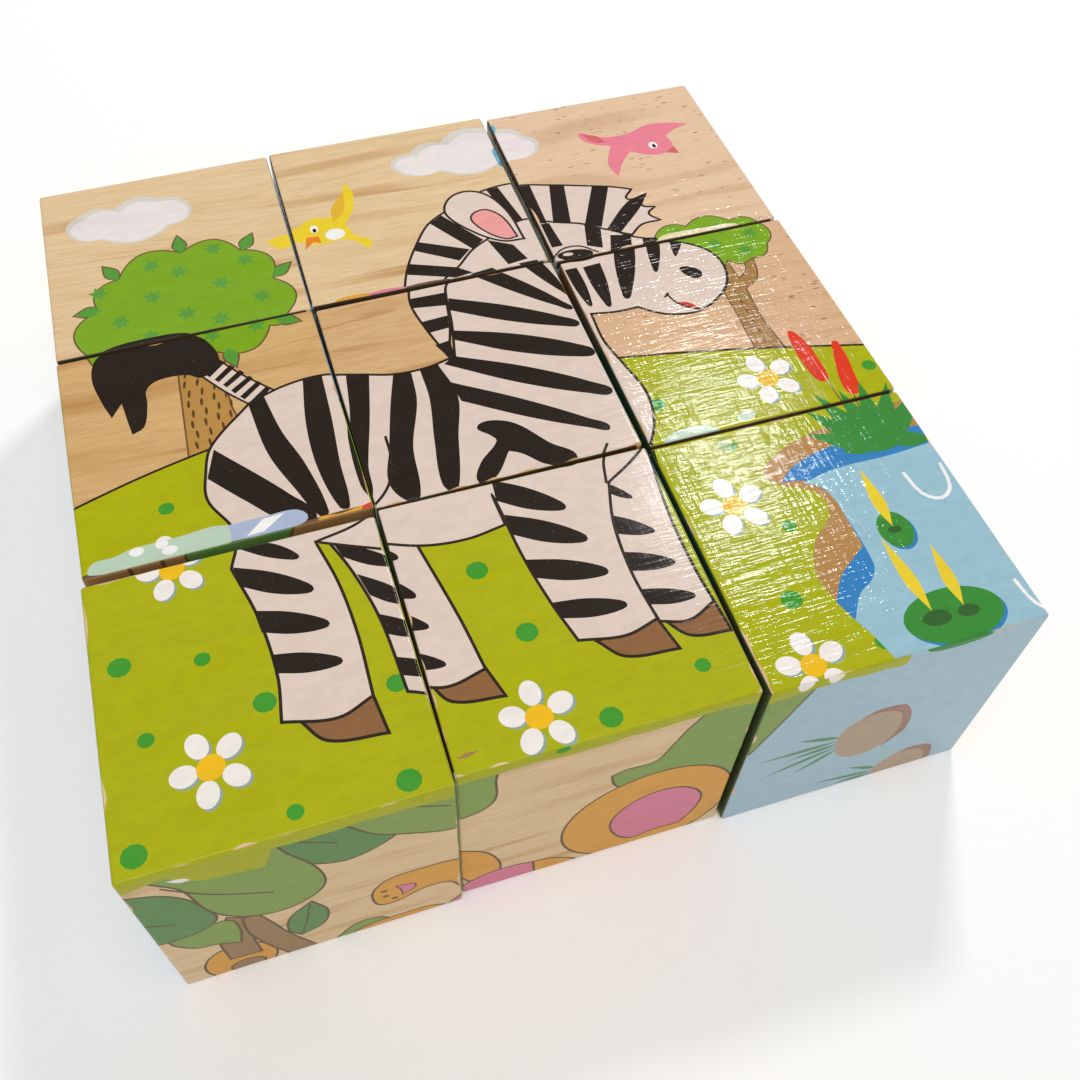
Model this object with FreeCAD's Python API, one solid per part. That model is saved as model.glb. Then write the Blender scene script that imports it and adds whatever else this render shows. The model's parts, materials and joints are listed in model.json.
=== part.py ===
"""Nine-cube picture puzzle: nine loose solid wood cubes laid out three by three.

Every face of every cube carries one ninth of a picture, so six pictures can be
laid.  Each cube is three pieces:

    block_*         the solid wood cube, all edges a little rounded
    top_print_*     the print on the face that is up, wrapped half-way round its edges
    other_prints_*  the prints of the other five faces, which meet along the edges

Units are millimetres.  X runs to the right, Y to the back, Z up.  The origin is
the middle of the laid-out set, on the surface that it stands on.
"""

import FreeCAD
import Part
import math
import os

# ---- driving dimensions -------------------------------------------------------

# A cube is a length sawn off a bar of square section.  The grain runs along X, and
# the saw leaves the cube a little shorter that way.  Both sizes include the print.
SECTION = 35.0         # depth and height of a finished cube, across the grain
LENGTH = 34.0          # length of a finished cube, along the grain
EDGE_RADIUS = 0.4      # rounding of every edge of a finished cube
PRINT = 0.1            # thickness of the print with its lacquer
SEAM = 0.3             # gap between neighbours that are pushed together neatly

COLUMNS = {"left": -1, "middle": 0, "right": 1}
ROWS = {"front": -1, "middle": 0, "back": 1}

# The cubes are laid by hand, so each lies a little off the neat grid:
# shift to the right, shift to the back (mm) and turn to the left (degrees).
LIE = {
    "front_left": (0.0, -0.4, 0.2),
    "front_middle": (0.0, 0.3, -0.3),
    "front_right": (0.2, -0.45, -0.2),
    "middle_left": (-0.05, 0.3, 0.8),
    "middle_middle": (-0.1, 0.3, 0.3),
    "middle_right": (0.4, -0.45, -0.1),
    "back_left": (-0.3, 0.3, 0.2),
    "back_middle": (-0.3, 0.55, -0.3),
    "back_right": (0.2, -0.4, -0.3),
}

# The eight outer cubes tip outwards over their outer bottom edge.  The sign is
# the way that a cube goes along X or along Y.
TIP = {
    "front_left": (-1, 0), "middle_left": (-1, 0), "back_left": (-1, 0),
    "front_right": (1, 0), "middle_right": (1, 0), "back_right": (1, 0),
    "front_middle": (0, -1), "back_middle": (0, 1),
}

UP = FreeCAD.Vector(0, 0, 1)


# ---- where each cube lies -----------------------------------------------------

def grid_place(name):
    """Centre of a cube's underside and its turn, before the set is centred."""
    row, column = name.split("_")
    shift_x, shift_y, turn = LIE[name]
    x = COLUMNS[column] * (LENGTH + SEAM) + shift_x
    y = ROWS[row] * (SECTION + SEAM) + shift_y
    return x, y, turn


def half_flat(axis):
    """Half the length of the flat part of a cube's face along X (0) or Y (1)."""
    return (LENGTH, SECTION)[axis] / 2 - EDGE_RADIUS


def half_reach(turn, axis):
    """How far a turned cube with rounded edges reaches from its centre along X or Y."""
    angle = math.radians(turn)
    along = half_flat(axis) * abs(math.cos(angle))
    across = half_flat(1 - axis) * abs(math.sin(angle))
    return along + across + EDGE_RADIUS


def set_centre():
    """Middle of the box round all nine cubes, in the grid's own coordinates."""
    places = [grid_place(name) for name in LIE]
    middle = []
    for axis in (0, 1):
        low = min(place[axis] - half_reach(place[2], axis) for place in places)
        high = max(place[axis] + half_reach(place[2], axis) for place in places)
        middle.append((low + high) / 2)
    return middle


def place_of(name):
    """Placement that takes a cube modelled on the origin to its place in the set."""
    x, y, turn = grid_place(name)
    centre_x, centre_y = set_centre()
    return FreeCAD.Placement(
        FreeCAD.Vector(x - centre_x, y - centre_y, 0),
        FreeCAD.Rotation(UP, turn),
    )


def tip_hinge(name):
    """A point on the tipping axis and its direction.

    A cube tips over the rounding of its outer bottom edge, so the axis is the
    centre line of that rounding: the edge stays on the table all the way, and
    after a quarter turn the outer face lies flat on it.
    """
    way_x, way_y = TIP[name]
    place = place_of(name)
    edge = FreeCAD.Vector(way_x * half_flat(0), way_y * half_flat(1), EDGE_RADIUS)
    point = place.multVec(edge)
    axis = place.Rotation.multVec(FreeCAD.Vector(-way_y, way_x, 0))
    return point, axis


# ---- the pieces of one cube, standing on the origin ---------------------------

def rounded_cube(inset):
    """Cube with rounded edges, set in by the given depth from the finished surface."""
    length = LENGTH - 2 * inset
    section = SECTION - 2 * inset
    corner = FreeCAD.Vector(-length / 2, -section / 2, inset)
    cube = Part.makeBox(length, section, section, corner)
    return cube.makeFillet(EDGE_RADIUS - inset, cube.Edges)


def level_outline(offset):
    """Outline level with a point on the 45 degree planes through the top edges.

    The offset is how far it lies above and outside the top edges.
    """
    half_x = LENGTH / 2 + offset
    half_y = SECTION / 2 + offset
    height = SECTION + offset
    ways = [(-1, -1), (1, -1), (1, 1), (-1, 1), (-1, -1)]
    return Part.makePolygon([FreeCAD.Vector(x * half_x, y * half_y, height) for x, y in ways])


def top_share():
    """Part of space that belongs to the top face: it is cut off at 45 degrees."""
    return Part.makeLoft(
        [level_outline(-SECTION / 4), level_outline(EDGE_RADIUS)],
        True,
        True,
    )


def cube_pieces():
    """The wood block, the top print and the other five prints of one cube."""
    block = rounded_cube(PRINT)
    coat = rounded_cube(0).cut(block)
    share = top_share()
    return {
        "block": block,
        "top_print": coat.common(share),
        "other_prints": coat.cut(share),
    }


# ---- the set ------------------------------------------------------------------

def check_pieces(pieces):
    """Every piece is one valid closed solid, and together they fill the cube."""
    for kind, shape in pieces.items():
        if not shape.isValid() or len(shape.Solids) != 1:
            raise ValueError(kind + " is not one valid solid")
    whole = rounded_cube(0).Volume
    parts = sum(shape.Volume for shape in pieces.values())
    print("cube volume %.1f mm3, its pieces add up to %.1f mm3" % (whole, parts))


def main():
    os.makedirs("parts", exist_ok=True)
    pieces = cube_pieces()
    check_pieces(pieces)
    for name in LIE:
        place = place_of(name)
        for kind, shape in pieces.items():
            placed = shape.Solids[0].copy()
            placed.transformShape(place.toMatrix(), True)
            placed.exportStep("parts/%s_%s.step" % (kind, name))
        print(name, "lies at", [round(value, 2) for value in place.Base], "turned", LIE[name][2])
    for name in TIP:
        point, axis = tip_hinge(name)
        print(name, "tips about", [round(value, 2) for value in point],
              "along", [round(value, 4) for value in axis])


main()
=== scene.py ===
# %% [markdown]
# # Nine wooden picture cubes
#
# The object is a set of nine solid wood cubes, laid three by three. Each face of a cube
# carries one ninth of a picture, printed as a thin film under clear lacquer. The CAD model
# holds the cubes, their places and the hinges that tip them. This script makes the looks:
# the pictures, the film that wraps round the rounded edges, the wood and the lacquer.
#
# The frame is loaded first, and its parts are kept, so that sizes and places can be read from them.

import json
import math
import random

import bpy
import numpy as np
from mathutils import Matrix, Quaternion, Vector
from mathutils.geometry import delaunay_2d_cdt

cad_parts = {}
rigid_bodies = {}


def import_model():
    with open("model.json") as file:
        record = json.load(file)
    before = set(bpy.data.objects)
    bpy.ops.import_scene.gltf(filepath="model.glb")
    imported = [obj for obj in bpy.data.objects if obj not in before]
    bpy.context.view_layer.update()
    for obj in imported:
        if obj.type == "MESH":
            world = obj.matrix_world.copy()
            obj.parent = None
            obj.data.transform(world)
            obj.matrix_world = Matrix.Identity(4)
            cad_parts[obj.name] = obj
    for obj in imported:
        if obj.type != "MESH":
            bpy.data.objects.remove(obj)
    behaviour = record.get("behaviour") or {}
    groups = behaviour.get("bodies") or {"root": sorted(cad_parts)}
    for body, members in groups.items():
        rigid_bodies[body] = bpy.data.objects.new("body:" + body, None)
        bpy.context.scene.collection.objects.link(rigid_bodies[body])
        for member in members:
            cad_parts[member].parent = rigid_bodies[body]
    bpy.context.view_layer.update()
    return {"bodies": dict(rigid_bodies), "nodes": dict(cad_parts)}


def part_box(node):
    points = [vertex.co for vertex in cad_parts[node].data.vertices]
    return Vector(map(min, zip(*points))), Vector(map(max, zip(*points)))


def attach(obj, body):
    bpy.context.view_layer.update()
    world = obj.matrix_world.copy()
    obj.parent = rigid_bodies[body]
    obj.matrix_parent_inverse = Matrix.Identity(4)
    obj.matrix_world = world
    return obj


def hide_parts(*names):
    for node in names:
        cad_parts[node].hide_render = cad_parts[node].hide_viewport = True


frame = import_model()

# %% [markdown]
# ## Sizes
#
# Blender works in metres, and the pictures are drawn in millimetres because the numbers are
# easier to read. The cubes are sawn from a square bar, and they are a little shorter along
# the grain, which runs in X. So a cube is first made with equal sides, and a last step
# squeezes it to its length. The height of a cube comes from the frame.

# %% Driving sizes
MM = 0.001
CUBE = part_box("top_print_middle_middle")[1].z / MM
LENGTH = 34.0          # mm along the grain
EDGE_RADIUS = 0.4
PRINT = 0.1

HALF_FLAT = CUBE / 2 - EDGE_RADIUS
HALF_SHEET = HALF_FLAT + EDGE_RADIUS * math.pi / 4
print("cube", round(CUBE, 2), "mm, flat part of a face", 2 * HALF_FLAT, "mm")
print("a print reaches", round(HALF_SHEET, 2), "mm from the middle of its face")

# %% [markdown]
# ## Where the cubes lie
#
# A hand laid the cubes down, so each is a little off the grid and a little turned. The wood
# block in the frame says how much: its box gives the middle, and the direction of its
# right-hand face gives the turn.

# %% Measure the place and the turn of each cube
CUBES = [body[len("cube_"):] for body in frame["bodies"]]
COLUMN = {"left": 0, "middle": 1, "right": 2}
ROW = {"front": 0, "middle": 1, "back": 2}


def lie_of(cube):
    """Middle of a cube in metres, and its turn about the upright axis in radians."""
    block = frame["nodes"]["block_" + cube]
    low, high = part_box(block.name)
    to_the_right = Vector()
    for face in block.data.polygons:
        if face.normal.x > 0.9:
            to_the_right += face.normal * face.area
    return (low + high) / 2, math.atan2(to_the_right.y, to_the_right.x)


def tile_of(cube):
    """Column and row of a cube in the laid picture, counted from the front left."""
    row, column = cube.split("_")
    return COLUMN[column], ROW[row]


LIE = {cube: lie_of(cube) for cube in CUBES}
for cube in CUBES:
    print(cube, "tile", tile_of(cube), "turned", round(math.degrees(LIE[cube][1]), 2), "degrees")

# %% [markdown]
# ## Inks
#
# A transfer print has a few flat inks. Each ink is a colour and a cover: with a cover of 1 the
# wood is hidden, and with less the grain shows through, as it does in the clouds. Bare wood
# is an ink with no cover. The colours are written as they look on a screen and turned into
# the linear values that a shader needs.

# %% The inks
INKS = {
    "bare": ("#d9b98c", 0.0),
    "line": ("#1d1716", 0.97),
    "brown_line": ("#5b4326", 0.9),
    "cloud": ("#efebf1", 0.76),
    "cloud_shade": ("#d3dfe6", 0.6),
    "meadow": ("#aeb200", 0.97),
    "dot": ("#2f9a28", 0.95),
    "petal": ("#f6f0ea", 0.96),
    "petal_shade": ("#8ba7a0", 0.9),
    "heart": ("#f6c012", 0.96),
    "crown": ("#77a90e", 0.95),
    "star": ("#3f9a2a", 0.9),
    "bud": ("#4a9a34", 0.95),
    "trunk": ("#b98a45", 0.93),
    "dash": ("#4d3116", 0.93),
    "branch": ("#a37b46", 0.93),
    "zebra": ("#e2d0c4", 0.93),
    "stripe": ("#1d1716", 0.98),
    "ear": ("#ee9f9d", 0.95),
    "mouth": ("#d33a2f", 0.95),
    "hoof": ("#8c5f3b", 0.95),
    "yellow": ("#efd21a", 0.92),
    "yellow_shade": ("#e3b418", 0.9),
    "beak": ("#e8801c", 0.93),
    "pink": ("#ec7f95", 0.93),
    "pink_shade": ("#d65f6a", 0.92),
    "bank": ("#b3854a", 0.95),
    "deep": ("#1e80c2", 0.96),
    "water": ("#97c3d4", 0.95),
    "pad": ("#1f8c2f", 0.95),
    "pad_shade": ("#0f5f24", 0.95),
    "reed": ("#e2330f", 0.96),
    "grass": ("#1f8a33", 0.95),
    "white": ("#f7f6f4", 0.95),
    "leaf": ("#7d9f4a", 0.93),
    "dark_leaf": ("#4f8a4a", 0.93),
    "leaf_line": ("#4c3b22", 0.9),
    "wood_brown": ("#99784f", 0.93),
    "orange": ("#e0a037", 0.94),
    "rose": ("#dc7c9c", 0.94),
    "air": ("#a6c6d4", 0.95),
    "air_shade": ("#b9d2dc", 0.95),
    "bulb": ("#b69f85", 0.94),
    "bulb_shade": ("#9c7468", 0.92),
    "shoot": ("#4f9068", 0.93),
    "red": ("#d8402e", 0.95),
    "sea": ("#5fb0cf", 0.95),
    "sand": ("#e4cb94", 0.94),
    "night": ("#27407a", 0.96),
    "straw": ("#e7c75c", 0.94),
    "mist": ("#bcd6c0", 0.93),
    "haze": ("#a9bbd8", 0.93),
    "faint": ("#8fb274", 0.85),
    "cream": ("#efe6bc", 0.75),
    # painted shade: dark brown for the top of the inner sides, where the gaps between the cubes are
    # in shade
    "painted_seam_shade": ("#33251a", 0.95),
    # painted shade: dark green for the gap between the middle and the right column
    "gap_shade_green": ("#173f1c", 0.95),
}


def linear(colour):
    """Linear red, green and blue of a screen colour such as #b0c100."""
    parts = [int(colour[i:i + 2], 16) / 255 for i in (1, 3, 5)]
    return [p / 12.92 if p <= 0.04045 else ((p + 0.055) / 1.055) ** 2.4 for p in parts]


INK_NUMBER = {name: number for number, name in enumerate(INKS)}
INK_VALUES = np.array([linear(colour) + [cover] for colour, cover in INKS.values()])
print(len(INKS), "inks")

# %% [markdown]
# ## Drawing
#
# A picture is a list of shapes, painted one over the other. Each outline is a smooth line
# through a few listed points. Where the outline has a corner, the point has a
# third item. A shape may also have a drawn edge, which is a line of its own ink and width.

# %% Smooth lines and simple outlines
C = "corner"
STEP = 0.55            # mm between the points of a smooth line


def curve(points, closed=True):
    """Smooth line through a few points; it turns sharply at the points marked as corners."""
    spots = [np.array(point[:2], float) for point in points]
    corner = [len(point) > 2 for point in points]
    count = len(spots)
    line = []
    for i in range(count if closed else count - 1):
        j = (i + 1) % count
        start, end = spots[i], spots[j]
        before = spots[i - 1] if closed or i > 0 else start
        after = spots[(i + 2) % count] if closed or i + 2 < count else end
        run = np.linalg.norm(end - start)
        leave = end - (start if corner[i] else before)
        arrive = (end if corner[j] else after) - start
        leave = leave * run / max(np.linalg.norm(leave), 1e-9)
        arrive = arrive * run / max(np.linalg.norm(arrive), 1e-9)
        straight = corner[i] and corner[j]
        steps = 1 if straight else max(3, round(run / STEP))
        for step in range(steps):
            t = step / steps
            line.append(
                (2 * t**3 - 3 * t**2 + 1) * start + (t**3 - 2 * t**2 + t) * leave
                + (3 * t**2 - 2 * t**3) * end + (t**3 - t**2) * arrive
            )
    if not closed:
        line.append(spots[-1])
    return np.array(line)


def moved(line, x=0.0, y=0.0, turn=0.0, size=1.0):
    """A line turned (degrees), scaled and then moved."""
    a = math.radians(turn)
    turned = np.array([[math.cos(a), math.sin(a)], [-math.sin(a), math.cos(a)]])
    return np.asarray(line) * size @ turned + (x, y)


def oval(x, y, across, high, turn=0.0):
    """Oval outline with the given half sizes."""
    count = max(10, round(2 * math.pi * max(across, high) / STEP))
    angles = np.arange(count) * 2 * math.pi / count
    return moved(np.stack([across * np.cos(angles), high * np.sin(angles)], 1), x, y, turn)


def leaf(x, y, length, width, turn):
    """Pointed leaf that grows from its foot in the direction of turn."""
    half = width / 2
    outline = curve([(0, 0, C), (length * 0.4, half), (length, 0, C), (length * 0.4, -half)])
    return moved(outline, x, y, turn)


def wedge(left, right, tip, belly=0.08):
    """Stripe that starts between two points of an outline and tapers to a blunt tip."""
    left, right, tip = (np.array(point, float) for point in (left, right, tip))
    along = tip - (left + right) / 2
    side = np.array([-along[1], along[0]]) * belly
    if side @ (left - right) < 0:
        side = -side
    near, far = 0.45, 0.86
    points = [(*left, C)]
    for share, out in ((near, 1.0), (far, 0.9)):
        points.append(tuple(left + (tip - left) * share + side * out))
    points.append(tuple(tip))
    for share, out in ((far, 0.9), (near, 1.0)):
        points.append(tuple(right + (tip - right) * share - side * out))
    points.append((*right, C))
    return curve(points)


def scallops(notches, bulge=0.3):
    """Closed outline of round lobes, one between each notch and the next."""
    line = []
    for i, start in enumerate(notches):
        start = np.array(start, float)
        chord = np.array(notches[(i + 1) % len(notches)], float) - start
        out = np.array([-chord[1], chord[0]])
        steps = max(4, round(1.3 * np.linalg.norm(chord) / STEP))
        for step in range(steps):
            t = step / steps
            line.append(start + chord * t + out * 4 * bulge * t * (1 - t))
    return np.array(line)


print("a leaf outline has", len(leaf(0, 0, 4, 2, 0)), "points")

# %% Shapes of a picture
LINE = 0.38            # mm, width of the drawn black edges


def fill(picture, ink, *outlines, edge=None, width=LINE):
    """Paints the inside of the outlines, and then their drawn edge; a list is made smooth."""
    lines = [curve(line) if isinstance(line, list) else line for line in outlines]
    picture.append({"ink": ink, "lines": lines, "edge": edge, "width": width, "open": False})


def draw(picture, ink, line, width=LINE):
    """Paints an open line; a list of points is made smooth."""
    if isinstance(line, list):
        line = curve(line, closed=False)
    picture.append({"ink": None, "lines": [line], "edge": ink, "width": width, "open": True})


# %% [markdown]
# ## From shapes to one flat mesh
#
# Paint layers that lie on each other would flicker in a render and bleed in a bake. So the
# shapes of a tile are cut into one flat sheet without overlaps. Every outline becomes a
# constraint of a Delaunay triangulation, and each triangle takes the ink of the last shape
# that covers its middle. Extra lines run along the rounded edges, where the sheet will bend.

# %% Cut the outlines
def beside(line, distance, is_open):
    """A line moved sideways by a distance."""
    ahead = np.roll(line, -1, axis=0) - line
    if is_open:
        ahead[-1] = ahead[-2]
    ahead /= np.maximum(np.linalg.norm(ahead, axis=1, keepdims=True), 1e-9)
    behind = np.roll(ahead, 1, axis=0)
    if is_open:
        behind[0] = ahead[0]
    along = ahead + behind
    length = np.maximum(np.linalg.norm(along, axis=1, keepdims=True), 1e-9)
    along /= length
    reach = distance / np.maximum(length / 2, 0.6)
    return line + np.stack([along[:, 1], -along[:, 0]], 1) * reach


def border_lines(shape):
    """Every closed line where the ink can change because of a shape."""
    if shape["edge"] is None:
        return shape["lines"]
    lines = []
    half = shape["width"] / 2
    for line in shape["lines"]:
        sides = [beside(line, side, shape["open"]) for side in (half, -half)]
        if shape["open"]:
            sides = [np.concatenate([sides[0], sides[1][::-1]])]
        lines += sides
    return lines


def clipped(start, end, half):
    """The stretches that lie in the square of the sheet (Liang and Barsky)."""
    way = end - start
    enter = np.zeros(len(start))
    leave = np.ones(len(start))
    for axis in (0, 1):
        for sign in (-1, 1):
            speed = sign * way[:, axis]
            room = half - sign * start[:, axis]
            with np.errstate(divide="ignore", invalid="ignore"):
                share = room / speed
            enter = np.where(speed < 0, np.maximum(enter, share), enter)
            leave = np.where(speed > 0, np.minimum(leave, share), leave)
            leave = np.where((speed == 0) & (room < 0), -1, leave)
    kept = leave - enter > 1e-6
    first = start + way * enter[:, None]
    last = start + way * leave[:, None]
    return first[kept], last[kept]


def inside(points, outline):
    """Which points lie inside a closed outline, by the even-odd rule."""
    x, y = points[:, :1], points[:, 1:]
    x1, y1 = outline[:, 0], outline[:, 1]
    x2, y2 = np.roll(x1, -1), np.roll(y1, -1)
    crosses = (y1 > y) != (y2 > y)
    with np.errstate(divide="ignore", invalid="ignore"):
        at = x1 + (y - y1) * (x2 - x1) / (y2 - y1)
    return (crosses & (x < at)).sum(1) % 2 == 1


def near(points, line, reach, is_open):
    """Which points lie within reach of a line."""
    start = line[:-1] if is_open else line
    end = line[1:] if is_open else np.roll(line, -1, axis=0)
    way = end - start
    length = np.maximum((way**2).sum(1), 1e-12)
    offset = points[:, None, :] - start[None]
    share = np.clip((offset * way).sum(2) / length, 0, 1)
    gap = offset - share[..., None] * way
    return ((gap**2).sum(2) <= reach**2).any(1)


def ink_numbers(shapes, middles):
    """The ink of each triangle: the last shape that covers its middle."""
    inks = np.full(len(middles), INK_NUMBER["bare"])
    for shape in shapes:
        margin = shape["width"] if shape["edge"] else 0
        low = np.min([line.min(0) for line in shape["lines"]], axis=0) - margin
        high = np.max([line.max(0) for line in shape["lines"]], axis=0) + margin
        around = np.where(((middles > low) & (middles < high)).all(1))[0]
        if not len(around):
            continue
        spots = middles[around]
        if shape["ink"]:
            covered = sum(inside(spots, line).astype(int) for line in shape["lines"]) % 2 == 1
            inks[around[covered]] = INK_NUMBER[shape["ink"]]
        if shape["edge"]:
            for line in shape["lines"]:
                on_line = near(spots, line, shape["width"] / 2, shape["open"])
                inks[around[on_line]] = INK_NUMBER[shape["edge"]]
    return inks


# %% Lines along the rounded edges
BEND_STEPS = 3
CALM = 0.2             # mm of flat face beside the bend, so that its shading stays flat


def bend_lines():
    """Where the sheet has to have vertices so that it can bend round the edges."""
    places = [HALF_FLAT - CALM]
    for step in range(BEND_STEPS + 1):
        places.append(HALF_FLAT + (HALF_SHEET - HALF_FLAT) * step / BEND_STEPS)
    return places + [-place for place in places]


def cut_sheet(shapes):
    """Vertices, triangles and inks of one face's print; its middle is at 0, 0."""
    starts, ends = [], []
    for shape in shapes:
        for line in border_lines(shape):
            first, last = clipped(line, np.roll(line, -1, axis=0), HALF_SHEET)
            starts.append(first)
            ends.append(last)
    for place in bend_lines():
        starts.append(np.array([(place, -HALF_SHEET), (-HALF_SHEET, place)]))
        ends.append(np.array([(place, HALF_SHEET), (HALF_SHEET, place)]))
    points = np.concatenate(starts + ends)
    count = len(points) // 2
    edges = [(i, i + count) for i in range(count)]
    spots, _, triangles, *_ = delaunay_2d_cdt(
        [Vector(point) for point in points], edges, [], 0, 1e-4, False
    )
    spots = np.array([tuple(spot) for spot in spots])
    triangles = np.array(triangles)
    corners = spots[triangles]
    way_1, way_2 = corners[:, 1] - corners[:, 0], corners[:, 2] - corners[:, 0]
    turned_up = way_1[:, 0] * way_2[:, 1] - way_1[:, 1] * way_2[:, 0] > 0
    triangles[~turned_up] = triangles[~turned_up][:, ::-1]
    return spots, triangles, ink_numbers(shapes, corners.mean(1))


_, test_triangles, _ = cut_sheet([])
print("a sheet with no ink has", len(test_triangles), "triangles")

# %% [markdown]
# ## The film wraps round the cube
#
# Every print is a flat sheet that covers the flat of its face and half of each rounded edge.
# The rule is simple. Where the sheet is past the flat, the rest of its length is an angle
# round the edge. Geometry Nodes apply that rule, so one tree makes all fifty-four prints.
# The sheets of one piece lie side by side in the flat mesh, and each point carries the
# middle of its own sheet and the turn of its own face. The tree first gives the sheet its
# thickness, then bends it, turns it to its face, squeezes it and puts it on its cube.

# %% Helpers for node trees
def add(tree, kind, inputs=None, **settings):
    """Adds a node, sets its options and joins or sets its inputs by number or name."""
    node = tree.nodes.new(kind)
    for name, value in settings.items():
        setattr(node, name, value)
    for name, value in (inputs or {}).items():
        socket = node.inputs[name]
        if isinstance(value, bpy.types.NodeSocket):
            tree.links.new(value, socket)
        else:
            socket.default_value = value
    return node


def calculate(tree, operation, *values):
    """Output of a Math node."""
    return add(tree, "ShaderNodeMath", dict(enumerate(values)), operation=operation).outputs[0]


def named_input(tree, name, kind, value=None):
    """Adds an input with a name to a tree."""
    socket = tree.interface.new_socket(name, in_out="INPUT", socket_type=kind)
    if value is not None:
        socket.default_value = value
    return socket


def shaping_tree(name, inputs):
    """Geometry Nodes tree with named inputs, and the sockets that give them."""
    tree = bpy.data.node_groups.new(name, "GeometryNodeTree")
    for socket_name, kind, *value in inputs:
        named_input(tree, socket_name, "NodeSocket" + kind, *value)
    named_input(tree, "Finish", "NodeSocketMaterial")
    tree.interface.new_socket("Result", in_out="OUTPUT", socket_type="NodeSocketGeometry")
    return tree, tree.nodes.new("NodeGroupInput").outputs


def end_tree(tree, given, geometry):
    """Makes the instances real, gives them the finish and joins the output."""
    real = add(tree, "GeometryNodeRealizeInstances", {0: geometry}).outputs[0]
    finished = add(tree, "GeometryNodeSetMaterial", {
        "Geometry": real, "Material": given["Finish"],
    }).outputs[0]
    tree.links.new(finished, tree.nodes.new("NodeGroupOutput").inputs[0])
    return tree


def stored(tree, name, kind="FLOAT"):
    """Attribute that the points carry under a name."""
    return add(tree, "GeometryNodeInputNamedAttribute", {"Name": name},
               data_type=kind).outputs["Attribute"]


def vector_sum(tree, operation, inputs):
    """Output of a Vector Math node."""
    return add(tree, "ShaderNodeVectorMath", inputs, operation=operation).outputs[0]


def set_input(modifier, name, value):
    """Sets an input of a Geometry Nodes modifier by its socket's identifier."""
    for socket in modifier.node_group.interface.items_tree:
        if socket.item_type == "SOCKET" and socket.in_out == "INPUT" and socket.name == name:
            modifier[socket.identifier] = value
            return
    raise KeyError(name)


def baked(source, tree, inputs):
    """Runs a tree on an object and returns the result as a plain mesh."""
    modifier = source.modifiers.new("shape", "NODES")
    modifier.node_group = tree
    for name, value in inputs.items():
        set_input(modifier, name, value)
    view = bpy.context.evaluated_depsgraph_get()
    mesh = bpy.data.meshes.new_from_object(source.evaluated_get(view), depsgraph=view)
    source.modifiers.remove(modifier)
    return mesh


def linked_object(name, mesh):
    """An object in the scene that sits at the origin."""
    thing = bpy.data.objects.new(name, mesh)
    bpy.context.scene.collection.objects.link(thing)
    return thing


# %% The wrapping tree
WELD = 1e-7            # m, points closer than this become one


def bend_axis(tree, place, half_flat, edge_radius):
    """For one direction of a sheet: the part on the flat, and the slope round the edge."""
    flat = add(tree, "ShaderNodeClamp", {
        "Value": place, "Min": calculate(tree, "MULTIPLY", half_flat, -1.0), "Max": half_flat,
    }).outputs[0]
    angle = calculate(tree, "DIVIDE", calculate(tree, "SUBTRACT", place, flat), edge_radius)
    return flat, calculate(tree, "TANGENT", angle)


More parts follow.
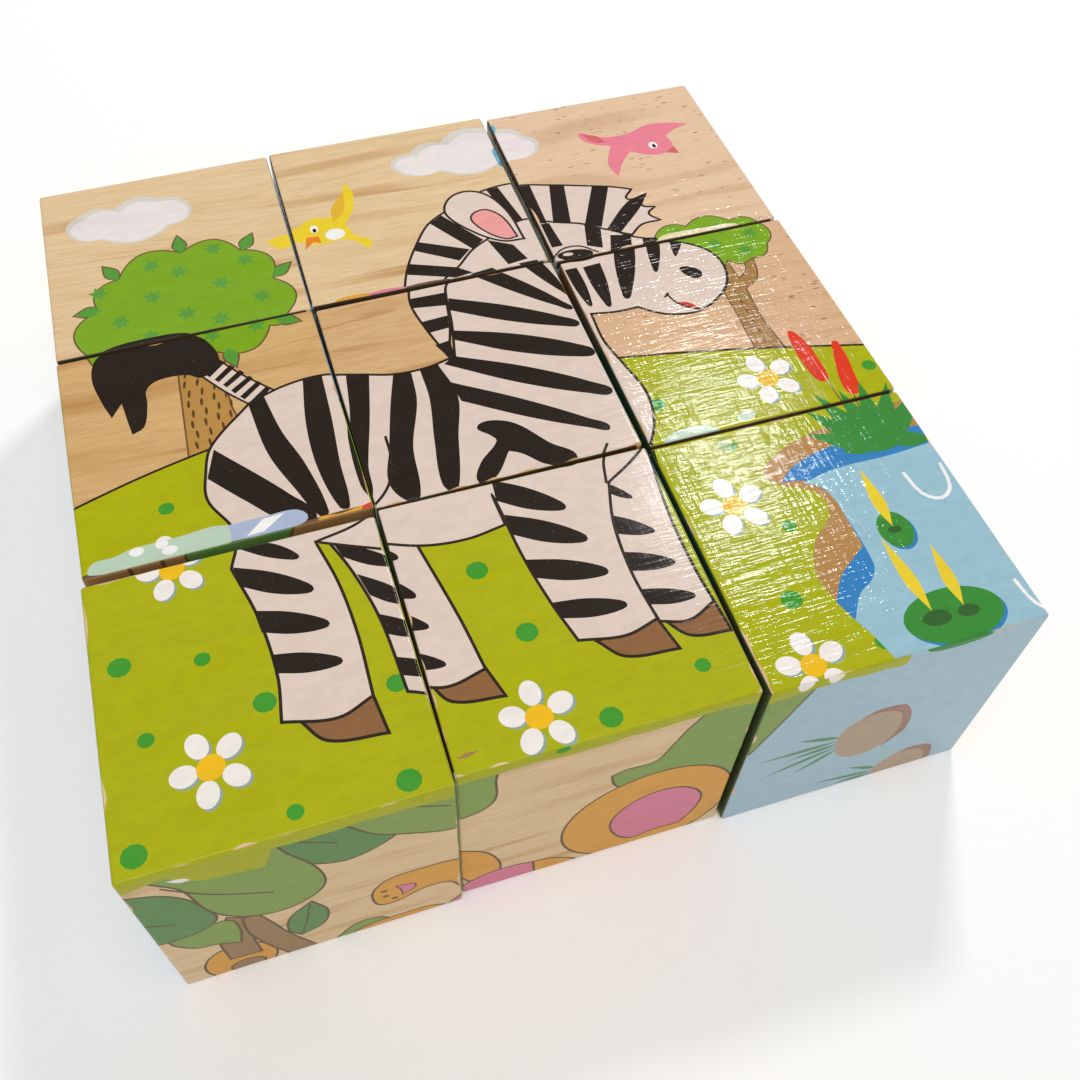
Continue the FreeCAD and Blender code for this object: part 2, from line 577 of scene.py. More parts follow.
def wrapping_tree():
    """Geometry Nodes tree that makes flat sheets into prints on a cube."""
    tree, given = shaping_tree("wrap_print", [
        ("Sheets", "Geometry"),
        ("Half Flat", "Float", HALF_FLAT * MM),
        ("Edge Radius", "Float", EDGE_RADIUS * MM),
        ("Thickness", "Float", PRINT * MM),
        ("Cube Middle", "Vector"),
        ("Cube Turn", "Float"),
        ("Cube Shape", "Vector", (LENGTH / CUBE, 1.0, 1.0)),
    ])

    thick = add(tree, "GeometryNodeExtrudeMesh", {
        "Mesh": given["Sheets"], "Offset Scale": given["Thickness"], "Individual": False,
    })
    under = add(tree, "GeometryNodeFlipFaces", {"Mesh": given["Sheets"]})
    both = tree.nodes.new("GeometryNodeJoinGeometry")
    tree.links.new(thick.outputs["Mesh"], both.inputs[0])
    tree.links.new(under.outputs[0], both.inputs[0])
    closed = add(tree, "GeometryNodeMergeByDistance", {
        "Geometry": both.outputs[0], "Distance": WELD,
    }).outputs[0]

    place = vector_sum(tree, "SUBTRACT", {
        0: tree.nodes.new("GeometryNodeInputPosition").outputs[0],
        1: stored(tree, "sheet_middle", "FLOAT_VECTOR"),
    })
    parts = add(tree, "ShaderNodeSeparateXYZ", {0: place}).outputs
    flat_x, slope_x = bend_axis(tree, parts[0], given["Half Flat"], given["Edge Radius"])
    flat_y, slope_y = bend_axis(tree, parts[1], given["Half Flat"], given["Edge Radius"])
    foot = add(tree, "ShaderNodeCombineXYZ", {0: flat_x, 1: flat_y, 2: given["Half Flat"]})
    slope = add(tree, "ShaderNodeCombineXYZ", {0: slope_x, 1: slope_y, 2: 1.0})
    outwards = vector_sum(tree, "NORMALIZE", {0: slope.outputs[0]})
    depth = calculate(tree, "SUBTRACT", parts[2], given["Thickness"])
    reach = calculate(tree, "ADD", given["Edge Radius"], depth)
    round_part = vector_sum(tree, "SCALE", {0: outwards, "Scale": reach})
    bent = vector_sum(tree, "ADD", {0: foot.outputs[0], 1: round_part})
    to_face = add(tree, "FunctionNodeEulerToRotation", {
        0: stored(tree, "face_turn", "FLOAT_VECTOR"),
    }).outputs[0]
    on_face = add(tree, "FunctionNodeRotateVector", {"Vector": bent, "Rotation": to_face})
    wrapped = add(tree, "GeometryNodeSetPosition", {
        "Geometry": closed, "Position": on_face.outputs[0],
    }).outputs[0]

    smooth = add(tree, "GeometryNodeSetShadeSmooth", {
        0: wrapped,
        "Selection": calculate(tree, "SUBTRACT", 1.0, thick.outputs["Side"]),
    }).outputs[0]
    upright = add(tree, "ShaderNodeCombineXYZ", {2: given["Cube Turn"]}).outputs[0]
    placed = add(tree, "GeometryNodeTransform", {
        "Geometry": smooth, "Translation": given["Cube Middle"], "Rotation": upright,
        "Scale": given["Cube Shape"],
    }).outputs[0]
    return end_tree(tree, given, placed)


WRAP = wrapping_tree()
print("the wrapping tree has", len(WRAP.nodes), "nodes")

# %% [markdown]
# ## A piece of print
#
# One piece is the print of one face or of several faces. Its flat mesh holds the sheets side
# by side. The colour of the ink goes into a face attribute, with the cover as its alpha.

# %% Make a piece from its sheets
QUARTER = math.pi / 2
FACE_TURN = {
    "top": (0, 0, 0),
    "front": (QUARTER, 0, 0),
    "right": (QUARTER, 0, QUARTER),
    "back": (QUARTER, 0, 2 * QUARTER),
    "left": (QUARTER, 0, 3 * QUARTER),
    "bottom": (2 * QUARTER, 0, 0),
}
SHEET_PITCH = 50       # mm between the sheets of a piece while they are still flat


def flat_piece(name, sheets):
    """One mesh with a flat sheet for each face, given as {face: shapes}."""
    spots, triangles, inks, middles, turns = [], [], [], [], []
    count = 0
    for number, (face, shapes) in enumerate(sheets.items()):
        sheet_spots, sheet_triangles, sheet_inks = cut_sheet(shapes)
        middle = np.array((number * SHEET_PITCH, 0.0, 0.0)) * MM
        flat = np.column_stack([sheet_spots * MM, np.zeros(len(sheet_spots))])
        spots.append(flat + middle)
        triangles.append(sheet_triangles + count)
        inks.append(sheet_inks)
        middles.append(np.tile(middle, (len(flat), 1)))
        turns.append(np.tile(FACE_TURN[face], (len(flat), 1)))
        count += len(flat)
    mesh = bpy.data.meshes.new(name)
    mesh.from_pydata(np.concatenate(spots).tolist(), [], np.concatenate(triangles).tolist())
    for attribute, values in (("sheet_middle", middles), ("face_turn", turns)):
        layer = mesh.attributes.new(attribute, "FLOAT_VECTOR", "POINT")
        layer.data.foreach_set("vector", np.concatenate(values).astype(np.float32).ravel())
    colours = INK_VALUES[np.concatenate(inks)].astype(np.float32)
    layer = mesh.attributes.new("ink", "FLOAT_COLOR", "FACE")
    layer.data.foreach_set("color", colours.ravel())
    return mesh


def print_piece(name, cube, sheets, finish):
    """Finished print of a cube as an object."""
    middle, turn = LIE[cube]
    piece = linked_object(name, flat_piece(name, sheets))
    mesh = baked(piece, WRAP, {
        "Cube Middle": middle, "Cube Turn": turn, "Finish": finish,
    })
    for attribute in ("sheet_middle", "face_turn"):
        mesh.attributes.remove(mesh.attributes[attribute])
    mesh.name = name
    piece.data = mesh
    return piece


# %% [markdown]
# ## Small motifs that repeat
#
# Daisies, dots, stars and dashes are each one motif, set down many times. Geometry Nodes do
# that: a tree puts a motif on every point of a list, with the turn and the size that the
# point carries. The result is read back as outlines, so that it can be cut with the rest.

# %% The scattering tree
def scattering_tree():
    """Geometry Nodes tree that sets a flat motif on points."""
    tree, given = shaping_tree("scatter_motif", [("Points", "Geometry"), ("Motif", "Object")])
    motif = add(tree, "GeometryNodeObjectInfo", {"Object": given["Motif"]}).outputs["Geometry"]
    upright = add(tree, "ShaderNodeCombineXYZ", {2: stored(tree, "turn")}).outputs[0]
    copies = add(tree, "GeometryNodeInstanceOnPoints", {
        "Points": given["Points"], "Instance": motif, "Rotation": upright,
        "Scale": stored(tree, "size"),
    })
    return end_tree(tree, given, copies.outputs[0])


SCATTER = scattering_tree()


def outline_mesh(name, outlines):
    """Flat mesh with one face for each outline."""
    spots = [(x, y, 0.0) for line in outlines for x, y in line]
    faces, count = [], 0
    for line in outlines:
        faces.append(list(range(count, count + len(line))))
        count += len(line)
    mesh = bpy.data.meshes.new(name)
    mesh.from_pydata(spots, [], faces)
    return mesh


def scattered(outlines, points):
    """Copies of a motif, as outlines; a point is x, y, turn in degrees and size."""
    motif = linked_object("motif", outline_mesh("motif", outlines))
    spots = bpy.data.meshes.new("points")
    spots.from_pydata([(x, y, 0.0) for x, y, _, _ in points], [], [])
    for attribute, values in (
        ("turn", [math.radians(point[2]) for point in points]),
        ("size", [point[3] for point in points]),
    ):
        spots.attributes.new(attribute, "FLOAT", "POINT").data.foreach_set("value", values)
    holder = linked_object("points", spots)
    mesh = baked(holder, SCATTER, {"Motif": motif})
    lines = []
    for face in mesh.polygons:
        lines.append(np.array([mesh.vertices[i].co[:2] for i in face.vertices]))
    for thing in (motif, holder):
        bpy.data.objects.remove(thing)
    bpy.data.meshes.remove(mesh)
    return lines


def scatter(picture, ink, outlines, points, edge=None):
    """Paints a motif on every point."""
    for line in scattered(outlines, points):
        fill(picture, ink, line, edge=edge)


# %% Dots, stars, dashes and daisies
DOT = [oval(0, 0, 1.0, 0.9)]
STAR = [leaf(0, 0, 1.5, 0.75, 60 * arm) for arm in range(6)]
DASH = [oval(0, 0, 0.2, 0.7)]


PETAL_OUT, PETAL_LONG, PETAL_WIDE = 2.75, 1.45, 1.16   # mm


def daisies(picture, points):
    """Daisies with five petals, their soft shade and a yellow heart."""
    petals = []
    for turn in range(90, 450, 72):
        way = math.radians(turn)
        petals.append(oval(PETAL_OUT * math.cos(way), PETAL_OUT * math.sin(way),
                           PETAL_LONG, PETAL_WIDE, turn))
    scatter(picture, "petal_shade", petals, [(x + 0.25, y - 0.3, t, s) for x, y, t, s in points])
    scatter(picture, "petal", petals, points)
    scatter(picture, "heart", [oval(0, 0, 1.5, 1.35)], points)


print("a star is scattered as", len(scattered(STAR, [(0, 0, 0, 1), (5, 0, 0, 1)])), "outlines")

# %% [markdown]
# ## Bands across a strip
#
# The root of the tail is a strip with dark bands across it. A strip follows a centre line and
# has its own width at each point. The tree turns the centre line into a curve, cuts it into
# equal lengths and sweeps a cross line along it. Every second cell of that ribbon is a dark
# band.

# %% The banding tree
def banding_tree():
    """Geometry Nodes tree that makes a ribbon of cells along a centre line."""
    tree, given = shaping_tree("band_ribbon", [("Centre Line", "Geometry"), ("Cells", "Int", 9)])
    line = add(tree, "GeometryNodeMeshToCurve", {0: given["Centre Line"]}).outputs[0]
    wide = add(tree, "GeometryNodeSetCurveRadius", {
        "Curve": line, "Radius": stored(tree, "half_width"),
    }).outputs[0]
    level = add(tree, "GeometryNodeSetCurveNormal", {0: wide}, mode="Z_UP").outputs[0]
    marks = calculate(tree, "ADD", given["Cells"], 1)
    cells = add(tree, "GeometryNodeResampleCurve", {"Curve": level, "Count": marks}).outputs[0]
    across = add(tree, "GeometryNodeCurvePrimitiveLine", {
        "Start": (-1.0, 0.0, 0.0), "End": (1.0, 0.0, 0.0),
    }).outputs[0]
    ribbon = add(tree, "GeometryNodeCurveToMesh", {
        "Curve": cells, "Profile Curve": across,
        "Scale": tree.nodes.new("GeometryNodeInputRadius").outputs[0],
    })
    return end_tree(tree, given, ribbon.outputs[0])


BANDING = banding_tree()


def bands(centre_line, half_widths, count):
    """Outlines of the dark bands of a strip: every second cell of the ribbon."""
    share = np.linspace(0, 1, len(centre_line))
    widths = np.interp(share, np.linspace(0, 1, len(half_widths)), half_widths)
    mesh = bpy.data.meshes.new("centre_line")
    edges = [(i, i + 1) for i in range(len(centre_line) - 1)]
    mesh.from_pydata([(x, y, 0.0) for x, y in centre_line], edges, [])
    mesh.attributes.new("half_width", "FLOAT", "POINT").data.foreach_set("value", widths)
    holder = linked_object("centre_line", mesh)
    ribbon = baked(holder, BANDING, {"Cells": count})
    cells = []
    for face in ribbon.polygons:
        cells.append(np.array([ribbon.vertices[i].co[:2] for i in face.vertices]))
    bpy.data.objects.remove(holder)
    bpy.data.meshes.remove(ribbon)
    cells.sort(key=lambda cell: along_line(centre_line, cell.mean(0)))
    return cells[::2]


def along_line(line, spot):
    """Which point of a line is nearest to a spot."""
    return int(((line - spot) ** 2).sum(1).argmin())


test_line = curve([(0, 0), (5, 1), (10, 0)], closed=False)
test_bands = bands(test_line, [1, 2, 1], 9)
print("a test strip has", len(test_bands), "bands; the first is", test_bands[0].round(2).tolist())

# %% [markdown]
# ## The zebra picture
#
# The laid picture is 105 mm square: a zebra in a meadow, with a tree, a pond and two birds.
# The sky is bare wood. Its corner at the front left is 0, 0. The background comes first.

# %% Meadow, trees and sky
def round_puffs(notches):
    """Outline of a cloud, from the notches between its puffs."""
    return scallops(notches, 0.22)


def sky(picture):
    """Two clouds, thin enough to show the grain."""
    fill(picture, "cloud_shade", round_puffs([(3.5, 95.5), (5, 98.3), (10.5, 98.8), (17.5, 99.6),
        (22, 96), (18.5, 93.2), (8, 92.8)]))
    fill(picture, "cloud", round_puffs([(4, 95.3), (6, 97.6), (11.5, 98), (17, 98.8), (21.5, 95.8),
        (18, 93.3), (8.5, 93)]))
    fill(picture, "cloud_shade", round_puffs([(52.8, 96.5), (56.5, 98.8), (62, 100.3), (70, 101.8),
        (74.5, 99), (76.3, 96.5), (71, 94), (60, 93.6)]))
    fill(picture, "cloud", round_puffs([(53.5, 96.3), (57.5, 98), (63, 99.3), (69.5, 100.6),
        (74, 98.2), (75.5, 96.3), (70.5, 94), (60.5, 93.8)]))


def left_tree(picture):
    """Round tree with leaf buds, star marks and a dashed trunk."""
    fill(picture, "trunk", [(15.5, 66, C), (14.6, 49, C), (22.4, 51.5, C), (21.2, 56.5),
        (21.9, 66, C)], edge="brown_line", width=0.25)
    dashes = [(x + 0.35 * (row % 2), 50.9 + 1.75 * row + 0.4 * (x > 18), 5 - 3 * row, 1)
              for row in range(8) for x in (15.9, 17.6, 19.3, 20.9)]
    scatter(picture, "dash", DASH, dashes)
    buds = [(19.1, 86.5, 92), (27.6, 84.6, 57), (30.9, 77.9, 36), (29.6, 70, -25),
            (22.4, 66.4, -80), (6.9, 78.2, 184), (9.8, 83.5, 121)]
    for x, y, turn in buds:
        fill(picture, "bud", leaf(x, y, 4, 2.1, turn), edge="brown_line", width=0.25)
    fill(picture, "crown", scallops([(4.1, 70), (6.4, 78), (9.8, 83.6), (19.1, 86.6), (27.4, 84.8),
        (31, 77.6), (31.6, 70.2), (28.8, 68.8), (21, 66), (12, 66.5)]), edge="brown_line",
        width=0.25)
    for x, y, turn in buds:
        fill(picture, "bud", leaf(x, y, 3.8, 1.9, turn))
    stars = [(14.5, 85), (23.7, 86.1), (6.7, 81.4), (18.2, 82.8), (27.8, 82.6), (14, 78.6),
             (23.7, 78.8), (9.2, 74.9), (18.2, 74.1), (28.8, 74.6), (22.6, 71.8), (27, 69.4),
             (20.8, 69.3), (12.8, 71)]
    scatter(picture, "star", STAR, [(x, y, 7 * x, 0.95) for x, y in stars])


def right_tree(picture):
    """Small tree with one branch that loops up into its crown."""
    fill(picture, "branch", [(90.4, 66, C), (90.6, 56), (90.2, 46.3, C), (94.3, 45.4, C),
        (93.7, 52), (94, 57.8, C), (96.6, 59.6), (97.9, 64.5, C), (96.2, 64.5, C), (95.6, 61.3),
        (93.9, 60, C), (93.6, 66, C)], edge="brown_line", width=0.22)
    scatter(picture, "dash", DASH, [(92.2, 48 + 1.9 * row, 4, 0.7) for row in range(7)])
    fill(picture, "crown", scallops([(86, 71.2), (91.2, 71.9), (98, 71.3), (102, 69.8),
        (101, 65.6), (97.5, 63.3), (93.8, 63.9), (90, 62.6), (86.5, 65)], 0.24), edge="brown_line",
        width=0.22)
    scatter(picture, "star", STAR, [(x, y, 9 * x, 0.85) for x, y in [(93.5, 67.5), (97.3, 65.2),
        (99.5, 68.3), (89.6, 70.6), (95.6, 70.4)]])


def meadow(picture):
    """Lime meadow with a dark rim, dark dots and daisies."""
    left = curve([(-3, 44.6), (8, 47.8), (18, 49.9), (30, 51.6)], closed=False)
    right = curve([(60, 52), (71.8, 50.5), (88, 47.4), (109, 42.3)], closed=False)
    ground = np.concatenate([left, right, [(109, -4), (-3, -4)]])
    fill(picture, "meadow", ground)
    draw(picture, "line", left, 0.35)
    draw(picture, "line", right, 0.35)
    dots = [(3.2, 23.4, 1.35), (12.1, 21.8, 0.95), (5, 14.1, 0.95), (17.8, 14.8, 1.35),
            (32, 12.9, 1.2), (2.4, 2.3, 1.4), (18.6, 2.1, 0.95), (30.5, 2, 1.4),
            (44.3, 23.4, 1.35), (47.4, 14.1, 1.35), (52.9, 1.9, 1.35), (64.8, 4.8, 0.95),
            (81.7, 19.4, 0.95), (77.4, 10.1, 1.35), (103.6, 39.8, 1), (10.8, 42.3, 1),
            (73.5, 41.4, 1.2), (85.2, 2.4, 1.3), (80, 32.5, 0.9)]
    scatter(picture, "dot", DOT, [(x, y, 0, size) for x, y, size in dots])
    daisies(picture, [(10.4, 34.3, 10, 1), (11.1, 9.2, 22, 1.05), (45.5, 4.1, 2, 1.05),
        (76, 1.9, 3, 1.02), (76.6, 24, 6, 1.02), (89.5, 41.5, 12, 1.02)])


def pond(picture):
    """Pond with a brown bank, deep water along the shore and two lily pads."""
    fill(picture, "bank", [(109, 33.6, C), (98, 32.6), (89, 31.2), (83.4, 28.9), (82, 27.1),
        (83.2, 25.4), (87.2, 22.9), (87.2, 19.7), (83.6, 16.4), (81.7, 12.2), (82.2, 8.6, C),
        (109, 8, C)])
    fill(picture, "deep", [(109, 28.6, C), (98, 29.2), (91, 28.8), (86, 27.3), (83.7, 25.6, C),
        (86.9, 24.8), (88.9, 22, C), (88.9, 14.4, C), (84.5, 11.4), (82.2, 8.4, C), (83.2, 5.6),
        (84.2, 3.3), (86.2, -4, C), (109, -4, C)])
    fill(picture, "water", [(109, 26.3, C), (99, 25.6), (91.5, 25.6), (86.2, 24.7, C),
        (88.2, 23.4), (88.9, 21, C), (88.9, 11.8), (87.6, 9.9), (85.4, 8.6), (83.2, 5.7, C),
        (84.2, 3.3), (86.2, -4, C), (109, -4, C)])
    for x, y, across, high in ((93.8, 15.4, 2.15, 2.6), (94.4, 3.2, 6.2, 3.4)):
        fill(picture, "deep", oval(x + 0.2, y - 0.4, across, high))
        fill(picture, "pad", oval(x, y, across, high))
    for x, y, across in ((93.7, 15.4, 0.9), (92.3, 3.3, 1.8), (96.3, 3.2, 1.4)):
        fill(picture, "pad_shade", oval(x, y, across, across * 0.55))
    for x, y, length, turn in ((93.7, 15.8, 9, 88), (92.2, 4.2, 10.8, 94), (96.1, 3.9, 8.6, 86)):
        fill(picture, "yellow", leaf(x, y, length, 1.7, turn))
    for x, y, size in ((101.6, 20.4, 2.6), (106.2, 3, 2.6)):
        arc = curve([(-1, 0.9), (-0.75, -0.45), (0, -0.95), (0.75, -0.45), (1, 0.9)], closed=False)
        draw(picture, "white", moved(arc, x, y, 0, size), 0.45)


def reeds(picture):
    """Two red cattails and a tuft of grass at the water."""
    draw(picture, "brown_line", [(96.9, 40), (97.2, 30)], 0.2)
    draw(picture, "brown_line", [(99.2, 36.8), (98.6, 30)], 0.2)
    fill(picture, "reed", [(96, 48.6), (95.4, 46.8), (95.2, 43), (95.8, 39.2), (97.2, 39.1),
        (97.6, 43), (97.2, 46.8)])
    fill(picture, "reed", [(101.2, 45.2), (100, 43), (98.6, 38.5), (98.7, 36.1), (100.2, 36),
        (101.1, 39.5), (101.6, 43)])
    blades = [(97.6, 27.5, 8.5, 152), (97.6, 27.5, 9.6, 128), (98, 27.5, 10.5, 112),
              (98.5, 27.5, 9.5, 96), (99, 27.5, 10.4, 80), (99.5, 27.5, 10.2, 62),
              (100, 27.5, 9.6, 43), (99.5, 28, 6.6, -14), (97.8, 28.2, 4.6, 188)]
    for x, y, length, turn in blades:
        fill(picture, "grass", leaf(x, y, length, 2.6, turn))
    fill(picture, "grass", oval(98.6, 28.2, 3.2, 1.8))


def yellow_bird(picture):
    """Chick that dives to the left."""
    fill(picture, "yellow", [(35.3, 86.3), (38.5, 88), (41.2, 87.6, C), (43.4, 90.5), (45, 95, C),
        (45.8, 92.4), (45, 88.4), (43.2, 85.6, C), (44.2, 82.6), (46.2, 81.2), (45.4, 79.3, C),
        (43.6, 81.8), (41.6, 82.4), (38.4, 82.2), (35.4, 83.6), (33.2, 83.2), (31.4, 85.4, C),
        (33.4, 86)])
    fill(picture, "yellow_shade", leaf(41.6, 86.4, 7, 2, 66))
    fill(picture, "white", oval(41.3, 83.8, 1.5, 1.2))
    fill(picture, "white", oval(38.5, 85.7, 0.62, 0.85))
    fill(picture, "line", oval(38.5, 85.4, 0.3, 0.45))
    fill(picture, "beak", [(37, 84.2, C), (36.4, 81.6, C), (37.9, 83, C), (39, 82.4, C),
        (38.8, 84, C)])


def pink_bird(picture):
    """Bird that flies to the right with spread wings."""
    fill(picture, "pink", [(83.4, 97.3), (85.7, 95.6), (88.6, 95), (91.2, 95.2), (94.6, 96.4),
        (98.2, 96), (101.2, 94.9, C), (98.4, 94), (96.6, 93, C), (96.8, 90.6), (94.7, 88.8),
        (91.8, 89.3), (89.6, 90.7, C), (87.6, 88.6), (85.6, 85.4, C), (85.1, 88.6), (87, 92.8, C),
        (84.6, 94), (83.1, 95.6)])
    fill(picture, "pink_shade", leaf(86.6, 93.8, 4.4, 1.7, 134))
    fill(picture, "pink_shade", [(95, 88.9, C), (97, 88.2, C), (96.8, 90.2, C)])
    fill(picture, "white", oval(93.7, 91.2, 0.75, 0.85))
    fill(picture, "line", oval(93.8, 91, 0.3, 0.5))


# %% [markdown]
# The zebra stands in front. The two far legs come first, then the body with the near legs,
# and then the stripes, which start on the outline and taper towards the middle.

# %% The zebra
def hooved_leg(picture, leg, hoof, stripes):
    """A leg: white with a dark edge, its hoof and its stripes."""
    fill(picture, "hoof", hoof, edge="line")
    fill(picture, "zebra", leg, edge="line")
    for left, right, tip in stripes:
        fill(picture, "stripe", wedge(left, right, tip))


def far_legs(picture):
    """The two legs on the far side."""
    hooved_leg(picture, [(28.6, 33.4, C), (30.6, 28), (32.2, 21), (32.9, 11.6, C), (37, 10.2),
        (41.6, 11.1, C), (40.6, 18), (38.4, 29, C), (34, 36, C)], [(35.2, 11.2, C), (37, 8.4),
        (42.8, 7.4, C), (41.5, 11.6, C)], [((29.2, 32.6), (30, 30.3), (35.9, 27.6)), ((31, 27.6),
        (31.8, 24.4), (36.6, 22)), ((32.1, 21.8), (32.5, 19), (37, 17.8)), ((32.7, 16),
        (32.9, 13.6), (37.6, 12.8))],)
    hooved_leg(picture, [(63.4, 31.5, C), (61.9, 24), (61.6, 17), (62.3, 11.2, C), (65.6, 10.4),
        (69.3, 11.9, C), (68.9, 17), (69, 25), (70.4, 36, C), (65, 36, C)], [(62.7, 11.4, C),
        (65, 8.6), (69.7, 7.9, C), (69.3, 12.2, C)], [((63, 31.2), (62.9, 29.6), (65.6, 28)),
        ((62.2, 26.3), (61.9, 23.6), (66.4, 22.7)), ((61.7, 21), (61.6, 18.3), (67.1, 18)),
        ((61.8, 15.7), (62.1, 13.5), (67.6, 13.2))],)


BACK = [(23.5, 55.8, C), (28.4, 57.4), (33.4, 57.8), (38, 56.7), (42.5, 55.4), (47, 55.3),
        (51.2, 56.2, C)]
NECK_AND_HEAD = [(52.5, 62), (54, 70), (60, 78), (68, 80), (75, 77.4), (80, 74.4),
                 (82.4, 72.2), (85.5, 70.6), (89.4, 69), (92, 66.6), (92.9, 63.2), (91.8, 59.6),
                 (89, 57), (85.6, 55.6), (82, 56), (79.6, 57.2), (77.8, 58.7, C), (74.6, 58.7),
                 (71, 59.3, C)]
CHEST = [(70.9, 54), (72, 49), (73, 44), (72.3, 39.5), (70.2, 35.6), (67.6, 33.4), (63.6, 31, C)]
NEAR_FRONT_LEG = [(62, 25), (61.6, 18), (62.2, 11.6, C), (58, 10.6), (52.6, 11.5, C), (51.2, 17),
                  (50, 24), (49.2, 33), (49.4, 28.6, C)]
BELLY = [(44.4, 27.9), (39, 28.5), (32.5, 31), (27.3, 33.3, C)]
NEAR_HIND_LEG = [(28.7, 27), (29.3, 20), (29.2, 12.2, C), (25, 10.8), (19.1, 12, C), (19.7, 17.5),
                 (19, 25), (17.1, 32.4, C), (18.2, 36.4), (15.8, 42), (16.2, 46), (17.6, 50.2)]


def zebra_body(picture):
    """Body, neck, head and the two near legs as one white shape."""
    for hoof in (
        [(21, 11.6, C), (23.4, 8.6), (29.8, 7.6, C), (29.2, 12.2, C)],
        [(54.6, 10.8, C), (57, 8.2), (63.2, 7.4, C), (62.1, 11.8, C)],
    ):
        fill(picture, "hoof", hoof, edge="line")
    fill(picture, "zebra", BACK + NECK_AND_HEAD + CHEST + NEAR_FRONT_LEG + BELLY + NEAR_HIND_LEG,
        edge="line")


def body_stripes(picture):
    """Dark stripes of the rump, the body and the near legs."""
    for outline in (
        [(17.8, 49.6, C), (16.3, 45.3, C), (20.3, 40.5), (24.4, 36.2), (28, 35.6), (25.6, 40)],
        [(23.3, 55.7, C), (24.2, 47), (26.4, 40.5), (28.5, 35.6), (29.6, 36), (28.4, 44),
         (26.6, 50), (25.5, 56.7, C)],
        [(31, 57.7, C), (29.8, 50), (29.7, 43), (31, 36.2), (32.2, 36), (32.6, 43),
         (33.2, 50), (33.6, 57.7, C)],
        [(36.3, 57.1, C), (35.4, 51), (34.4, 46), (34.2, 38.6), (35, 37), (35.6, 41.5),
         (37.6, 49), (39.3, 56.3, C)],
        [(42.4, 55.5, C), (40.6, 50), (38.8, 43.6), (37.4, 38.4), (38.8, 35.2), (40.6, 35.2),
         (41.8, 43), (44.2, 50), (44.8, 55.2, C)],
        [(46, 55.2, C), (45.9, 50), (44.6, 43), (43.7, 36.4), (44.8, 34.8), (46, 36.4),
         (47.8, 43), (49.6, 49.4), (48.6, 55.4, C)],
    ):
        fill(picture, "stripe", outline)
    draw(picture, "line", [(27.3, 33.3), (33, 34.6), (37, 37.6), (38.6, 42), (38.8, 45.6)])
    for left, right, tip in (
        ((20.8, 35.4), (18.4, 34.9), (25, 31.7)), ((17.3, 32.6), (17.7, 29.8), (25.8, 27)),
        ((18.6, 26.2), (19, 23.2), (26.6, 22.1)), ((19.4, 20.2), (19.6, 17.8), (27, 17.2)),
        ((49.7, 35.4), (49.4, 32.2), (57.3, 28.9)), ((49.7, 30), (49.9, 26.9), (58.3, 23.9)),
        ((50.3, 23.2), (50.6, 20.5), (59.1, 19)), ((51.3, 16.9), (51.9, 14.6), (59.6, 14.3)),
    ):
        fill(picture, "stripe", wedge(left, right, tip))


def neck_stripes(picture):
    """Long stripes that sweep from the mane to the throat."""
    for left, right, tip, belly in (
        ((61.6, 70.6), (58.2, 70.2), (69.6, 60), 0.03),
        ((68.4, 70.4), (65.6, 70.4), (70, 62.8), 0.03),
        ((53.4, 67), (52.9, 64.7), (69.5, 57), 0.045),
        ((51.9, 61), (51.8, 59.2), (69.7, 51.4), 0.06),
        ((51, 56.3), (49.4, 55.2), (69.4, 44.2), 0.045),
        ((49.2, 52), (49.8, 48.4), (66.9, 38.6), 0.03),
    ):
        fill(picture, "stripe", wedge(left, right, tip, belly))
    fill(picture, "stripe", [(50.4, 43.6), (52.4, 44.2), (55.4, 42.8), (58.6, 38.6), (61.2, 35.4),
        (57.6, 35.2), (54.6, 38), (53.2, 38.8, C), (50.4, 35.4), (48.1, 35.2), (49.2, 38),
        (52.2, 40.8), (51.6, 42, C)])
    draw(picture, "line", [(65.6, 36.4), (64.2, 34.4), (63.3, 31)])


# Corners of each black band of the mane, from the withers to the forelock.
MANE_BANDS = (
    ((49.2, 58.9), (51.4, 59.2), (51.2, 56.3), (50.3, 56.3)),
    ((48.6, 63.6), (52.4, 63.8), (51.9, 61.5), (48.9, 61.3)),
    ((48.1, 68.4), (53.6, 68.2), (53.1, 65.7), (48.2, 66.5)),
    ((50.3, 74.6), (56.7, 72.1), (58.7, 70.4), (56, 70.1), (49.5, 72.5)),
    ((52.6, 78.8), (59.6, 75.2), (57.5, 73.3), (51.5, 77.2)),
    ((57.5, 83.5), (62.1, 76.6), (60, 75.2), (55.4, 82.2)),
    ((65.7, 87.2), (67.6, 87.4), (69.1, 79.2), (67.7, 79)),
    ((69.8, 87.5), (71.6, 87.2), (71.4, 78.2), (70, 78.6)),
    ((74.5, 86.4), (76.7, 85.7), (74.9, 77.4), (72.3, 78)),
    ((80.8, 84.4), (83.2, 83.6), (79, 75.2), (76.8, 76.5)),
)


